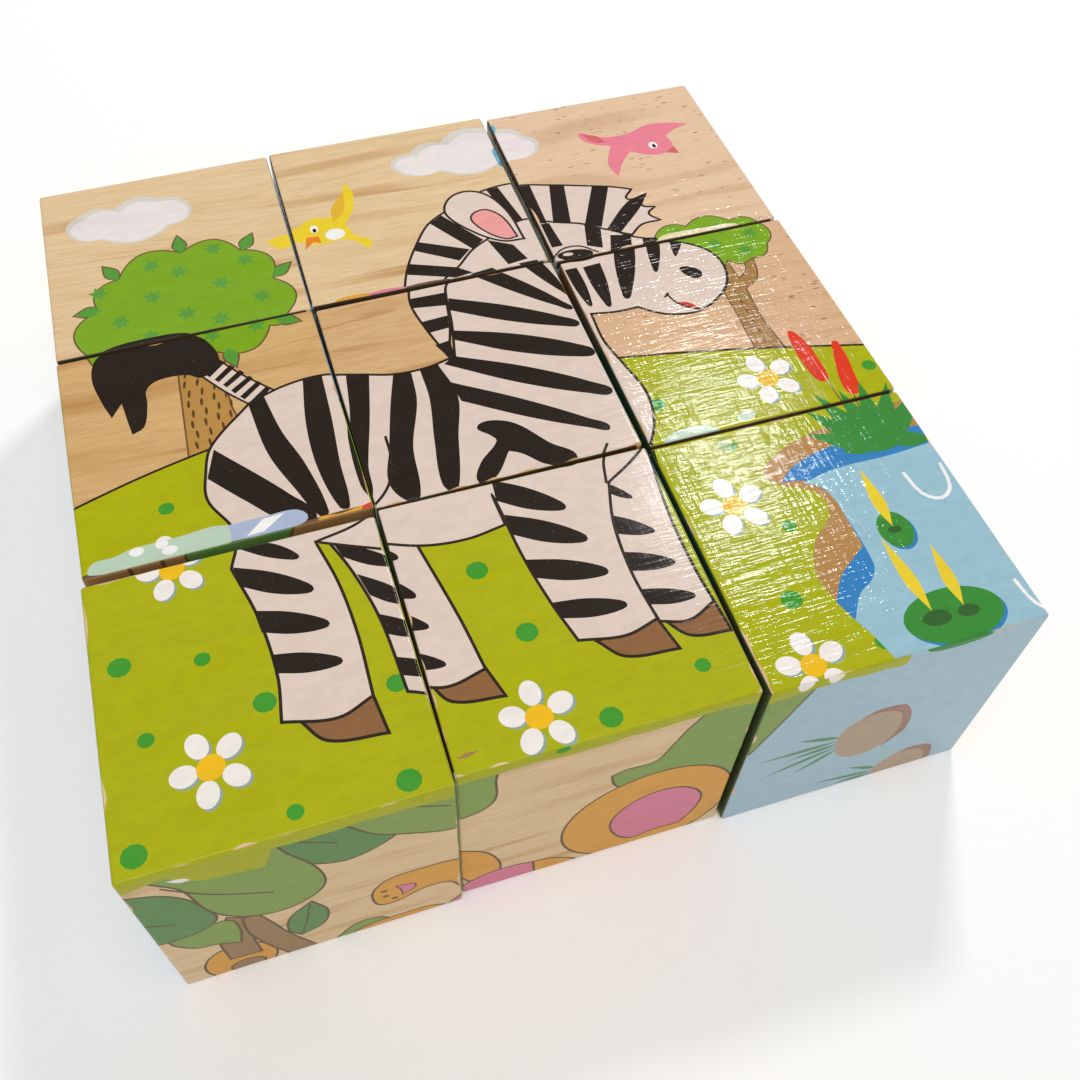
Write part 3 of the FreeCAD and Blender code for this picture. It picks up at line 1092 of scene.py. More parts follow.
def mane(picture):
    """Upright mane from the withers to the forelock, with bands across it."""
    fill(picture, "zebra", [(50.4, 56.2, C), (48.7, 62.7), (48, 67.2), (48.7, 70.8), (50.3, 74.8),
        (52.7, 78.9), (55, 82), (58, 84), (63, 86.6), (69.4, 87.7), (74.8, 86.4), (80.7, 84.5),
        (83.8, 83.4), (86.4, 82.1, C), (85, 80.1), (88.2, 80.5, C), (86.6, 78.2), (88.4, 77.3, C),
        (86.9, 76.1), (88.1, 74.3, C), (85, 74.1), (82.8, 72.4, C), (81.3, 73.3), (78.5, 75.2),
        (76.4, 76.7), (73.5, 77.8), (69, 79.2), (62.4, 76.4), (59.7, 74.8), (57.2, 72.3),
        (53.9, 69.6), (53, 66.3), (52.2, 62)], edge="line")
    for corners in MANE_BANDS:
        fill(picture, "stripe", [(x, y, C) for x, y in corners])
    fill(picture, "stripe", [(88.2, 80.5, C), (86.6, 78.2), (81.2, 73.2, C), (79.5, 74.5, C),
        (84.9, 79.6)])


def head(picture):
    """Ear, eye, cheek stripes, nostril and smile."""
    fill(picture, "zebra", [(58.3, 83.4), (59.4, 86.6), (62.4, 87.8), (65.4, 86.2), (67.4, 81.6),
        (68, 75.2, C), (64.8, 75.6), (61.4, 78.4)], edge="line")
    fill(picture, "ear", [(61.6, 81.4), (62.6, 82.8), (64.6, 82.8), (66.4, 80.4), (67.2, 76, C),
        (65.4, 75.9), (63, 78.2)], edge="line", width=0.3)
    for outline in (
        [(62.6, 76.4, C), (66, 74.4, C), (67.2, 71, C), (64.1, 70.6, C)],
        [(70.4, 78.3, C), (71.7, 78.2, C), (72.1, 73, C), (70.4, 73, C)],
        [(76.7, 76.6, C), (78.8, 75.2, C), (77.6, 70.9, C), (75.5, 72, C)],
    ):
        fill(picture, "stripe", outline)
    for left, right, tip in (
        ((82.6, 72.4), (79.6, 73.2), (76.9, 60.6)), ((72.2, 68.6), (70.4, 68.6), (71.5, 60.6)),
        ((75.8, 68.6), (73.1, 68.4), (74, 59.8)), ((86, 70.8), (84, 71.4), (82.9, 64.5)),
        ((89, 69.4), (87.3, 70), (86.9, 66.8)),
    ):
        fill(picture, "stripe", wedge(left, right, tip, 0.05))
    fill(picture, "stripe", oval(73.2, 70.7, 2.7, 1.05, -6))
    fill(picture, "zebra", oval(72.2, 71, 0.8, 0.35, -6))
    draw(picture, "line", [(69.9, 70.9), (71.8, 72.3), (74.4, 72.2), (76.6, 70.3)], 0.3)
    fill(picture, "stripe", [(86.4, 64.2), (87.6, 64.4), (89.2, 63), (88.8, 61.8), (87.4, 62)])
    fill(picture, "mouth", leaf(83.5, 58, 3.5, 1.1, -38))
    draw(picture, "line", [(82.1, 59.4), (83, 60.1)], 0.3)
    draw(picture, "line", [(82.6, 60), (83.6, 57.6), (86.2, 55.7)], 0.34)


TAIL_LINE = [(20, 63.4), (22, 61), (23.6, 58.7), (25.4, 56.4)]


def tail(picture):
    """Tail with a banded root and a black tuft."""
    fill(picture, "zebra", [(18.2, 62.4, C), (20.9, 58.6), (23.4, 55.7, C), (27, 57.1, C),
        (23.8, 60.6), (21, 64.4, C)], edge="line", width=0.3)
    for band in bands(curve(TAIL_LINE, closed=False), [1.55, 1.75], 11):
        fill(picture, "stripe", band)
    fill(picture, "stripe", [(21, 64.2), (20, 68.4), (17.6, 70.4), (13, 70.9), (8, 70.6),
        (5.2, 69.4), (4.3, 66), (5.1, 61.6), (6.1, 58.5, C), (7.6, 60.6, C), (8, 57.2),
        (8.3, 55, C), (9.9, 55.8), (10.8, 59.5), (11, 62), (12.6, 63.2), (16.4, 63.1), (18.4, 62)])


ZEBRA_PICTURE = []
for painter in (sky, left_tree, right_tree, meadow, pond, reeds, yellow_bird, pink_bird, tail,
                far_legs, zebra_body, body_stripes, neck_stripes, mane, head):
    painter(ZEBRA_PICTURE)
print("the zebra picture has", len(ZEBRA_PICTURE), "shapes")

# %% [markdown]
# ## The five other pictures
#
# Every cube takes part in six pictures. One of them shows on the front of the set: a snake
# that winds round a tree, on bare wood. Another, with bulbs that sprout, lies on its side on
# the front right cube. The remaining three are plain subjects: a farm, the sea and the night.

# %% The snake in the tree
def framed(picture, ink, outline, width=0.3):
    """Paints a shape that has a thin brown edge."""
    fill(picture, ink, outline, edge="leaf_line", width=width)


def snake_picture():
    """A snake among big leaves, with a branch and fruit above it."""
    picture = []
    framed(picture, "dark_leaf", [(16, 36), (17.6, 27.6), (21.8, 24.2), (26, 25.3), (29, 28.6),
        (29, 36)])
    draw(picture, "leaf_line", [(18.4, 32.4), (22, 29.4)], 0.28)
    framed(picture, "leaf", [(23.6, 36), (25.4, 29.6), (30, 26), (35, 23.9), (38.8, 25.6),
        (39.3, 31), (38.6, 36)])
    draw(picture, "leaf_line", [(29.6, 33.4), (34.4, 30.4)], 0.28)
    framed(picture, "orange", oval(7.3, 3.1, 4.3, 5.4), width=0.32)
    framed(picture, "wood_brown", oval(7.8, 0.9, 2.1, 1.9), width=0.28)
    framed(picture, "wood_brown", [(8.2, 18, C), (6.2, 12), (6.2, 4.3, C), (9.9, 3.9, C),
        (9.8, 10), (10.4, 16, C)])
    framed(picture, "wood_brown", [(9.6, 16.2, C), (11.4, 16.2, C), (12.4, 12.6), (13.8, 7),
        (17.4, -3, C), (14, -3, C), (11, 5.2), (9.6, 11)])
    framed(picture, "leaf", [(1.4, 15.8), (4, 16.4), (8, 17.2), (8.9, 13.6), (8.3, 8.9, C),
        (6, 10.6), (3.4, 11.6)])
    framed(picture, "leaf", [(2.8, 36), (5.6, 29), (6.8, 22), (8.8, 18), (12.4, 15.4),
        (16.2, 15.7), (19.3, 18.8), (19.3, 24), (17, 30), (14, 36)])
    draw(picture, "leaf_line", [(3.8, 31), (8, 25.8), (14, 21.2)], 0.32)
    framed(picture, "dark_leaf", [(-3, 31), (2, 30.2), (5.2, 27), (6.8, 22), (7.2, 18.4),
        (4.8, 16.2), (1, 15.8), (-3, 17)])
    draw(picture, "leaf_line", [(-1, 23), (3, 20.4)], 0.3)
    framed(picture, "dark_leaf", [(17.4, 15.2, C), (18.8, 11), (17.8, 6.9), (15, 5.3, C),
        (13.8, 8), (14.6, 12.2)])
    draw(picture, "leaf_line", [(17.1, 14.4), (16, 9), (15.2, 6)], 0.22)
    framed(picture, "leaf", [(18, -2), (19.8, 1.6), (21.8, 3.4), (24.4, 3), (26, 0.5), (26, -2)])
    framed(picture, "orange", [(19.6, -2), (22, 1.1), (27, 1.7), (31.4, 1.2), (34, -2)])
    framed(picture, "leaf", [(53.2, 23.7, C), (55, 24.3), (58.4, 24.3), (60.2, 27.6), (62, 31.4),
        (67, 37.5), (82, 37), (80, 14), (66, 12), (54.6, 19.4, C), (53.6, 21.4)])
    framed(picture, "orange", oval(59.2, 9.4, 11.3, 11.5), width=0.34)
    framed(picture, "rose", [(60.6, 15), (64, 13.6), (66.4, 10), (66.2, 6), (64.4, 2.2, C),
        (61, 2.4), (57.6, 1.9), (54.8, 6), (54.6, 10.4), (57.2, 14)], width=0.32)
    framed(picture, "orange", [(24.2, 9), (24.4, 12.2), (26.4, 14.6), (30.4, 15), (35, 14.2),
        (38.8, 10.4), (39.9, 4), (37, 2.6), (34.9, 5.4), (33.4, 8), (30.4, 8.4), (27, 6.8),
        (25, 7)], width=0.32)
    framed(picture, "rose", [(27, 11.8, C), (28.2, 11.4), (29.4, 10.8), (29, 9.2), (27.7, 8.4, C),
        (27.6, 10.2)], width=0.22)
    for x, y in ((25.6, 11.2), (25.7, 9.4), (26.7, 8)):
        fill(picture, "leaf_line", oval(x, y, 0.42, 0.36))
    framed(picture, "rose", [(32, -3), (34.6, 1.8), (38.2, 4.2), (42, 4.3), (44.4, 3.7, C),
        (44.8, -3, C)], width=0.32)
    framed(picture, "orange", [(44.4, 3.7, C), (47, 2.9), (50.4, 0), (51, -3, C), (44.8, -3, C)],
        width=0.32)
    branch = curve([(-4, 62), (30, 66), (60, 80), (109, 84)], closed=False)
    draw(picture, "leaf_line", branch, 4.6)
    draw(picture, "wood_brown", branch, 4)
    places = random.Random(5)
    for ink in ("dark_leaf", "leaf", "dark_leaf", "leaf"):
        foot = [(places.uniform(0, 105), places.uniform(42, 102), places.uniform(0, 360), 1)
                for _ in range(9)]
        scatter(picture, ink, [leaf(0, 0, 12, 7, 0)], foot, edge="leaf_line")
    scatter(picture, "orange", [oval(0, 0, 4.2, 4.4)], [(22, 57, 0, 1), (49, 67, 0, 1.1),
        (77, 76, 0, 1), (95, 93, 0, 1.1)], edge="leaf_line")
    return picture


# %% Sprouting bulbs
def bulb_picture():
    """Bulbs with green shoots on a pale blue ground, one or two to a cube."""
    picture = []
    fill(picture, "air", [(-4, -4, C), (109, -4, C), (109, 109, C), (-4, 109, C)])
    for x, y, across, high in ((20, 60, 16, 5), (66, 88, 18, 6), (50, 28, 15, 4), (98, 50, 9, 4)):
        fill(picture, "air_shade", oval(x, y, across, high, 12))
    fill(picture, "leaf", [(109, 27, C), (109, 38), (100, 40), (88, 36.4, C), (90, 34.6)],
        edge="leaf_line", width=0.3)
    fill(picture, "leaf", [(-4, 96, C), (14, 99), (30, 109, C), (-4, 109, C)], edge="leaf_line",
        width=0.3)
    places = [(85, 17.5, 4, 0.84), (70, 9.2, -6, 0.74), (50, 13, -8, 1), (18, 19, 6, 1.05),
              (30, 3, 0, 0.8), (19, 52, -5, 1.1), (5, 40, 8, 0.7), (52, 50, 7, 1),
              (88, 62, -4, 1), (20, 84, 3, 0.95), (54, 84, -3, 1.05), (86, 90, 6, 1)]
    shoots = [leaf(side * 0.9, 4.4, length, 1.1, 90 - lean) for side, length, lean in
              ((-2, 8.5, -34), (-1, 13, -14), (0, 9, -2), (1, 14, 6), (2, 9, 26))]
    scatter(picture, "shoot", shoots, places)
    bulb = curve([(0, 5.4), (4.6, 4.6), (7.4, 0.6), (6.4, -3.8), (1, -5.6), (-4.6, -4.8),
                  (-7.4, -1), (-5.6, 3.6)])
    scatter(picture, "bulb", [bulb], places)
    skin = curve([(6.8, 2.6, C), (8, -0.4), (6.2, -5), (-2.4, -6.6), (-7.2, -3.2, C),
                  (-2, -5.2), (4, -4.4), (6.6, -1)])
    scatter(picture, "bulb_shade", [skin], places)
    return picture


# %% Farm, sea and night
def farm_picture():
    """Two green hills with a house, a tree, the sun and daisies."""
    picture = []
    fill(picture, "air", [(-4, 45, C), (109, 40, C), (109, 109, C), (-4, 109, C)])
    fill(picture, "heart", oval(17.5, 88, 8.5, 8.5), edge="orange", width=0.8)
    for x, y in ((52, 92), (86, 96)):
        fill(picture, "cloud", round_puffs([(x - 12, y), (x - 8, y + 3), (x, y + 4.6),
            (x + 8, y + 3), (x + 12, y), (x, y - 3)]))
    fill(picture, "crown", [(-4, 48), (16, 56), (42, 50), (62, 40), (62, -4), (-4, -4)],
        edge="line")
    fill(picture, "meadow", [(-4, 24), (30, 34), (64, 48), (109, 54), (120, -12), (-14, -12)],
        edge="line")
    fill(picture, "white", [(8, 46, C), (8, 60, C), (27, 60, C), (27, 46, C)], edge="line")
    fill(picture, "red", [(5, 60, C), (17.5, 70, C), (30, 60, C)], edge="line")
    fill(picture, "wood_brown", [(15, 46, C), (15, 54, C), (20, 54, C), (20, 46, C)], edge="line")
    fill(picture, "trunk", [(86, 48, C), (87, 66, C), (91, 66, C), (92, 48, C)], edge="line")
    fill(picture, "crown", scallops([(76, 66), (78, 76), (86, 82), (95, 80), (101, 73), (100, 64),
        (88, 62)]), edge="line")
    daisies(picture, [(12, 12, 0, 1.3), (34, 22, 20, 1.2), (58, 10, 9, 1.3), (84, 26, 30, 1.2),
        (97, 9, 5, 1.3), (78, 40, 12, 1)])
    return picture


def sea_picture():
    """A sailing boat, two fish and a sandy shore."""
    picture = []
    fill(picture, "sea", [(-4, -4, C), (109, -4, C), (109, 62, C), (80, 64), (50, 61), (20, 64),
        (-4, 62, C)], edge="deep", width=0.8)
    fill(picture, "sand", [(-4, 12), (20, 18), (50, 9), (78, 15), (109, 8), (118, -12),
        (-12, -12)], edge="bank")
    fill(picture, "red", [(60, 62, C), (102, 62, C), (94, 50, C), (68, 50, C)], edge="line")
    fill(picture, "white", [(80, 65, C), (80, 98, C), (58, 67, C)], edge="line")
    fill(picture, "yellow", [(83, 65, C), (83, 92, C), (101, 67, C)], edge="line")
    fish = [curve([(7, 0), (2, 4.4), (-5, 1, C), (-10, 4, C), (-9, 0), (-10, -4, C),
                   (-5, -1, C), (2, -4.4)])]
    shoal = [(88, 27, 6, 1), (22, 35, -8, 1.1), (54, 34, 12, 0.9)]
    scatter(picture, "orange", fish, shoal, edge="line")
    scatter(picture, "line", [oval(3.6, 1, 0.7, 0.7)], shoal)
    scatter(picture, "white", [oval(0, 0, 1, 1)], [(98, 33, 0, 1.2), (101, 39, 0, 0.8),
        (34, 41, 0, 1), (37, 47, 0, 0.7)])
    scatter(picture, "petal", [round_puffs([(-10, 0), (-6, 3), (1, 4), (7, 2.6), (10, 0),
        (0, -2.4)])], [(24, 92, 0, 1), (22, 76, 0, 0.7)])
    return picture


def night_picture():
    """Stars and a moon over dark hills."""
    picture = []
    fill(picture, "night", [(-4, -4, C), (109, -4, C), (109, 109, C), (-4, 109, C)])
    places = random.Random(11)
    points = [(places.uniform(3, 102), places.uniform(34, 102), places.uniform(0, 60),
               places.uniform(1, 2.2)) for _ in range(34)]
    scatter(picture, "straw", STAR, points)
    fill(picture, "straw", oval(82, 82, 12, 12))
    fill(picture, "night", oval(77, 85, 10.5, 10.5))
    fill(picture, "dark_leaf", [(-4, 26), (26, 34), (56, 22), (109, 31), (118, -12), (-12, -12)],
        edge="line")
    return picture


PICTURES = {
    "zebra": ZEBRA_PICTURE,
    "snake": snake_picture(),
    "bulbs": bulb_picture(),
    "farm": farm_picture(),
    "sea": sea_picture(),
    "night": night_picture(),
}
print({name: len(shapes) for name, shapes in PICTURES.items()}, "shapes")

# %% [markdown]
# ## Which picture lies on which face
#
# The pictures are printed one after another on the whole block of nine, and the cubes are
# turned between two prints. So a side of the set shows a strip of another picture. The cubes
# round the middle one hold the farm on their inner sides: tip all eight of them outwards, and
# the farm comes up. On the front right cube it is covered by dark green painted shade. A
# picture may lie in quarter turns, which the second item counts.

# %% Faces of a cube
def faces_of(cube):
    """Picture and quarter turns of each face of a cube."""
    column, _ = tile_of(cube)
    faces = {
        "top": ("zebra", 0), "front": ("snake", 0), "right": ("sea", 3),
        "back": ("snake", 2), "left": ("bulbs", 1), "bottom": ("night", 0),
    }
    if column == 0:
        faces["right"] = ("farm", 3)
        faces["back"] = ("sea", 2)
    if column == 2:
        faces["front"] = ("bulbs", 1)
        faces["left"] = ("farm", 1)
    if cube == "front_middle":
        faces["back"] = ("farm", 2)
    if cube == "back_middle":
        faces["front"] = ("farm", 0)
    return faces


print("front right cube:", faces_of("front_right"))

# %% [markdown]
# ## Cutting the pictures into tiles
#
# The print was never laid exactly on the wood. Each film is shifted by a few tenths of a
# millimetre and a little turned, its rim is ragged, and the corners are rubbed bare. In some
# places the film of one face folds over the edge onto the next, or a strip of an earlier
# print was not covered. These faults are what makes the set look real. The inner sides also
# get a dark strip of painted shade along the top, which makes the gaps between the cubes dark.

# %% One tile of a picture
def chance(cube, face):
    """Random numbers that belong to one face, the same in each run."""
    return random.Random(31 * CUBES.index(cube) + 7 * list(FACE_TURN).index(face) + 3)


TOP_SLACK, OTHER_SLACK = 0.12, 0.3       # mm and degrees that a tile may be off


def tile_shapes(cube, face):
    """The shapes of a face, in its own coordinates, with 0, 0 in its middle."""
    name, quarters = faces_of(cube)[face]
    column, row = tile_of(cube)
    luck = chance(cube, face)
    slack = TOP_SLACK if face == "top" else OTHER_SLACK
    middle = np.array([(column + 0.5) * CUBE + luck.uniform(-slack, slack),
                       (row + 0.5) * CUBE + luck.uniform(-slack, slack)])
    turn = 90 * quarters + luck.uniform(-slack, slack)
    shapes = []
    for shape in PICTURES[name]:
        lines = [moved(line - middle, turn=turn) for line in shape["lines"]]
        low = np.min([line.min(0) for line in lines], axis=0) - 2.5
        high = np.max([line.max(0) for line in lines], axis=0) + 2.5
        if (low < HALF_SHEET).all() and (high > -HALF_SHEET).all():
            shapes.append({**shape, "lines": lines})
    return shapes


CORNER_WEAR = (0.2, 0.8)                 # mm that a corner of the film has lost
RIM_WEAR = 0.6                           # mm, the deepest notches of the rim
RIM_POINTS = 17


def worn_rim(cube, face):
    """Bare wood outside a wavy line along the rim of the film."""
    luck = chance(cube, face)
    corner = [luck.uniform(*CORNER_WEAR) for _ in range(4)]
    inner = []
    for side in range(4):
        run = HALF_SHEET - corner[side]
        stop = HALF_SHEET - corner[(side + 1) % 4]
        for place in np.linspace(-run, stop, RIM_POINTS):
            reach = HALF_SHEET + 0.2 - RIM_WEAR * luck.random() ** 4
            inner.append(moved(np.array([(place, -reach)]), turn=90 * side)[0])
    outer = np.array([(-CUBE, -CUBE), (CUBE, -CUBE), (CUBE, CUBE), (-CUBE, CUBE)])
    return outer, curve([tuple(spot) for spot in inner])


# %% Films that fold over an edge, strips of an earlier print, and painted shade
def strip(points):
    """Outline given from the tile's lower left corner."""
    return curve(points) - CUBE / 2


WAVE = 2.2             # mm between the points of a wavy rim


def hanging(start, end, depth, seed):
    """Strip that hangs from the upper edge of a face, with a wavy lower rim; used for folded film
    and for painted shade.
    """
    luck = random.Random(seed)
    places = np.linspace(start, end, max(4, round((end - start) / WAVE)))
    rim = [(x, CUBE - depth * luck.uniform(0.8, 1.12)) for x in places]
    return strip([(end, CUBE + 1, C), (start, CUBE + 1, C)] + rim)


LEFT, RIGHT = -1, 36   # mm, just past the left and the right side of a tile
BROWN_EDGE = {"edge": "leaf_line", "width": 0.3}
# painted shade: a dark strip along the top of every inner side
INNER_SEAM_SHADE = [("painted_seam_shade", hanging(LEFT, 34, 1.2, 20))]
OUTER_LEFT = hanging(LEFT, RIGHT, 1.2, 8)
FOLDS = {
    ("front_left", "front"): [
        ("meadow", hanging(LEFT, RIGHT, 2.3, 2)),
        ("meadow", strip([(4.6, 33.4, C), (6.2, 31.4), (8, 30, C), (14.2, 28.9, C),
                          (15.6, 33.4, C)])),
        ("petal", leaf(-10.6, 13.6, 2.6, 1, 150)),
    ],
    ("front_middle", "front"): [
        ("meadow", hanging(LEFT, RIGHT, 2, 4)),
        ("dot", oval(-5.6, 17, 0.9, 0.6)),
    ],
    ("front_middle", "top"): [("branch", leaf(-16.8, -15.5, 2.6, 0.5, 6))],
    ("front_right", "front"): [("meadow", hanging(LEFT, 17, 1.9, 6))] + [
        ("petal", strip([(x - 0.9, 35.5), (x - 0.8, 34.2), (x, 33.5), (x + 0.8, 34.2),
                         (x + 0.9, 35.5)]))
        for x in (4.3, 8)
    ] + [("pad", oval(6, 17.4, 4.2, 1.1))],
    # painted shade: dark green over the whole inner side, so that the gap beside it looks dark
    ("front_right", "left"): [("gap_shade_green", hanging(LEFT, RIGHT, 40, 9))],
    ("front_right", "top"): [
        ("faint", arm) for arm in scattered(STAR, [(-8.2, 15.4, 9, 0.9)])
    ],
    ("middle_left", "left"): [("meadow", OUTER_LEFT)],
    ("front_left", "left"): [("meadow", OUTER_LEFT)],
    ("back_left", "left"): [("bare", OUTER_LEFT)],
    ("middle_left", "front"): [
        ("wood_brown", hanging(LEFT, RIGHT, 2.6, 12), BROWN_EDGE),
        ("dark_leaf", strip([(12.8, 36), (13.2, 31.6), (23, 31.4), (24.6, 33.8), (24.8, 36)]),
         BROWN_EDGE),
    ],
    ("middle_left", "top"): [
        ("brown_line", strip([(-1, -1), (-1, 0.45), (10, 0.2), (24, 0.35), (36, 0.5),
                              (36, -1)])),
        ("mist", strip([(0.9, 0.4), (1.4, 1.9), (4, 2.1), (6, 2.6), (11, 2.7), (17.6, 2.6),
                        (17.6, 0.2), (9, 0)])),
        ("haze", strip([(17.6, 0.2, C), (17.6, 2.6, C), (22, 2.6), (26, 2.4), (27, 0.8),
                        (24.6, 0.1)])),
    ] + [
        ("white", strip([(x - across, y), (x, y + 0.6), (x + across, y), (x, y - 0.7)]))
        for x, y, across in ((6.6, 2.1, 0.9), (10.4, 1.2, 0.95), (9.6, 2.3, 0.8))
    ] + [
        ("white", strip([(19.4, 0.4, C), (21.8, 2.3, C), (24.4, 2.4, C), (21.6, 0.5, C)])),
        ("orange", strip([(28, -0.6), (28.4, 0.5), (31, 0.3), (34, 0.6), (35, -0.6)])),
        ("red", strip([(33.6, -0.6), (33.8, 0.6), (36, 0.6), (36, -0.6)])),
    ],
    ("middle_right", "left"): [
        ("brown_line", hanging(LEFT, 17, 6, 5)),
        # painted shade: dark green along the top of the other half of this inner side
        ("gap_shade_green", hanging(17, RIGHT, 6, 7)),
    ],
    ("middle_right", "top"): [
        ("mist", strip([(1.8, -1), (2.6, 0.8), (5.2, 1.5), (8.2, 1.3), (9.8, 0.1), (9.8, -1)])),
        ("mist", strip([(12.6, 0.9), (13.6, 1.9), (15.4, 1.7), (14.6, 0.8)])),
    ],
    ("back_middle", "top"): [
        ("orange", strip([(3.4, -0.6), (3.6, 0.45), (8.4, 0.5), (8.6, -0.6)])),
        ("rose", strip([(8.2, -0.6), (8.4, 0.4), (13.4, 0.35), (13.6, -0.6)])),
        ("brown_line", strip([(13.4, -0.6), (13.8, 0.3), (20, 0.2), (20.4, -0.6)])),
        ("sea", strip([(34.6, 22), (34.3, 23.4), (34.5, 26.6), (36, 27), (36, 22)])),
        ("deep", strip([(34.8, 22), (34.6, 23.2), (36, 23.4), (36, 21.6)])),
    ],
    ("back_right", "top"): [
        ("sea", strip([(-1, 30), (-1, 33), (0.55, 33), (0.4, 31.4)])),
        ("cream", strip([(16, -1), (16.4, 0.7), (19.6, 1.1), (23.4, 0.9), (28.6, 0.5),
                         (29, -1)])),
    ],
}


def folds(cube, face):
    """The extra films of one face; the inner sides also get a dark strip of painted shade along the
    top.
    """
    inner = (face == "left" and not cube.endswith("left")) or (
        face == "front" and not cube.startswith("front"))
    extra = []
    for ink, outline, *edge in INNER_SEAM_SHADE * inner + FOLDS.get((cube, face), []):
        fill(extra, ink, outline, **(edge[0] if edge else {}))
    if (cube, face) == ("middle_left", "front"):
        for x in (5.4, 9.2):
            draw(extra, "leaf_line", np.array([(x - 17.5, 18), (x - 17.2, 14)]), 0.5)
    return extra


def sheet_shapes(cube, face):
    """All that is drawn on one face: its tile, the worn rim, the folded films and the painted
    shade.
    """
    shapes = tile_shapes(cube, face)
    fill(shapes, "bare", *worn_rim(cube, face))
    return shapes + folds(cube, face)


print("front left cube, top:", len(sheet_shapes("front_left", "top")), "shapes")

# %% [markdown]
# ## Wood
#
# The cubes are sawn from two kinds of wood. Pine has wide soft brown streaks, and the other
# kind is closer grained, with short dark pores. Wood is a solid pattern: the rings run
# through the cube and come out on every face. So the pattern is made in space from Object
# coordinates, long in X and narrow across it, and each cube reads it at another place.

# %% Helpers for shader trees
def noise(tree, vector, scale, detail=3.0, roughness=0.55):
    """Factor of a Noise Texture."""
    return add(tree, "ShaderNodeTexNoise", {
        "Vector": vector, "Scale": scale, "Detail": detail, "Roughness": roughness,
    }).outputs[0]


def mapped(tree, vector, scale=(1, 1, 1), place=(0, 0, 0), turn=(0, 0, 0)):
    """Vector moved, turned and stretched by a Mapping node."""
    return add(tree, "ShaderNodeMapping", {
        "Vector": vector, "Scale": scale, "Location": place, "Rotation": turn,
    }).outputs[0]


def graded(tree, value, low, high, out_low=0.0, out_high=1.0):
    """A value range turned into another, with soft ends."""
    return add(tree, "ShaderNodeMapRange", {
        "Value": value, "From Min": low, "From Max": high, "To Min": out_low, "To Max": out_high,
    }, interpolation_type="SMOOTHSTEP").outputs[0]


def blended(tree, factor, first, second, blend="MIX"):
    """Colour between two colours."""
    node = add(tree, "ShaderNodeMix", data_type="RGBA", blend_type=blend)
    for number, value in ((0, factor), (6, first), (7, second)):
        if isinstance(value, bpy.types.NodeSocket):
            tree.links.new(value, node.inputs[number])
        elif number == 0:
            node.inputs[0].default_value = value
        else:
            node.inputs[number].default_value = (*linear(value), 1)
    return node.outputs[2]


# Marks in one metre, along the grain and twice across it.
GRAIN = {
    "waves": (14, 55, 55),
    "streaks": (30, 800, 800),
    "fibres": (160, 3600, 3600),
    "patches": (30, 60, 60),
    "pores": (430, 2100, 2100),
    "pore fields": (300, 500, 500),
}
PORE_BROWN = "#6a4a30"


def wood_group(name, ring_width, pale, brown, streak_strength, pore_strength):
    """Node group of a solid wood; it gives a colour and the height of the grain."""
    tree = bpy.data.node_groups.new(name, "ShaderNodeTree")
    tree.interface.new_socket("Place", in_out="INPUT", socket_type="NodeSocketVector")
    tree.interface.new_socket("Colour", in_out="OUTPUT", socket_type="NodeSocketColor")
    tree.interface.new_socket("Height", in_out="OUTPUT", socket_type="NodeSocketFloat")
    place = tree.nodes.new("NodeGroupInput").outputs[0]
    waves = add(tree, "ShaderNodeTexNoise", {
        "Vector": mapped(tree, place, GRAIN["waves"]), "Scale": 1.0, "Detail": 2.0,
    }).outputs["Color"]
    bent = add(tree, "ShaderNodeVectorMath", {
        0: waves, 1: (0.0, 0.006, 0.006), 2: place,
    }, operation="MULTIPLY_ADD").outputs[0]
    rings = add(tree, "ShaderNodeTexWave", {
        "Vector": mapped(tree, bent, (0.3, 1, 1), (0, 0.031, -0.047)),
        "Scale": 0.314 / ring_width, "Distortion": 2.2, "Detail": 2.0, "Detail Scale": 0.6,
    }, wave_type="RINGS", rings_direction="X").outputs[1]
    streaks = noise(tree, mapped(tree, bent, GRAIN["streaks"]), 1.0, 4)
    fibres = noise(tree, mapped(tree, bent, GRAIN["fibres"]), 1.0, 2)
    patches = noise(tree, mapped(tree, place, GRAIN["patches"]), 1.0, 1)
    late = calculate(tree, "MULTIPLY", graded(tree, rings, 0.5, 1.0), 0.75)
    dark = calculate(tree, "MULTIPLY", late, graded(tree, patches, 0.35, 0.68, 0.25, 1.0))
    dark = calculate(tree, "MULTIPLY_ADD", graded(tree, streaks, 0.52, 0.78),
                     streak_strength, dark)
    colour = blended(tree, graded(tree, dark, 0.0, 1.5, 0.0, 1.0), pale, brown)
    soft = graded(tree, fibres, 0.25, 0.75, 0.0, 0.3)
    colour = blended(tree, soft, colour, brown)
    flecks = add(tree, "ShaderNodeTexVoronoi", {
        "Vector": mapped(tree, bent, GRAIN["pores"]), "Scale": 1.0, "Randomness": 1.0,
    }).outputs["Distance"]
    fields = noise(tree, mapped(tree, place, GRAIN["pore fields"]), 1.0, 1)
    sparse = graded(tree, fields, 0.52, 0.66)
    pores = calculate(tree, "MULTIPLY", graded(tree, flecks, 0.33, 0.12), sparse)
    pores = calculate(tree, "MULTIPLY", pores, pore_strength)
    colour = blended(tree, pores, colour, PORE_BROWN)
    height = calculate(tree, "SUBTRACT", calculate(tree, "MULTIPLY", streaks, 0.5), pores)
    height = calculate(tree, "MULTIPLY_ADD", fibres, 0.6, height)
    out = tree.nodes.new("NodeGroupOutput")
    tree.links.new(colour, out.inputs["Colour"])
    tree.links.new(height, out.inputs["Height"])
    return tree


PINE = wood_group("pine", 0.0046, "#ebcfa4", "#bd8d55", 0.75, 0.12)
CLOSE_GRAINED = wood_group("close_grained_wood", 0.0021, "#ebcbab", "#cda27c", 0.3, 0.75)


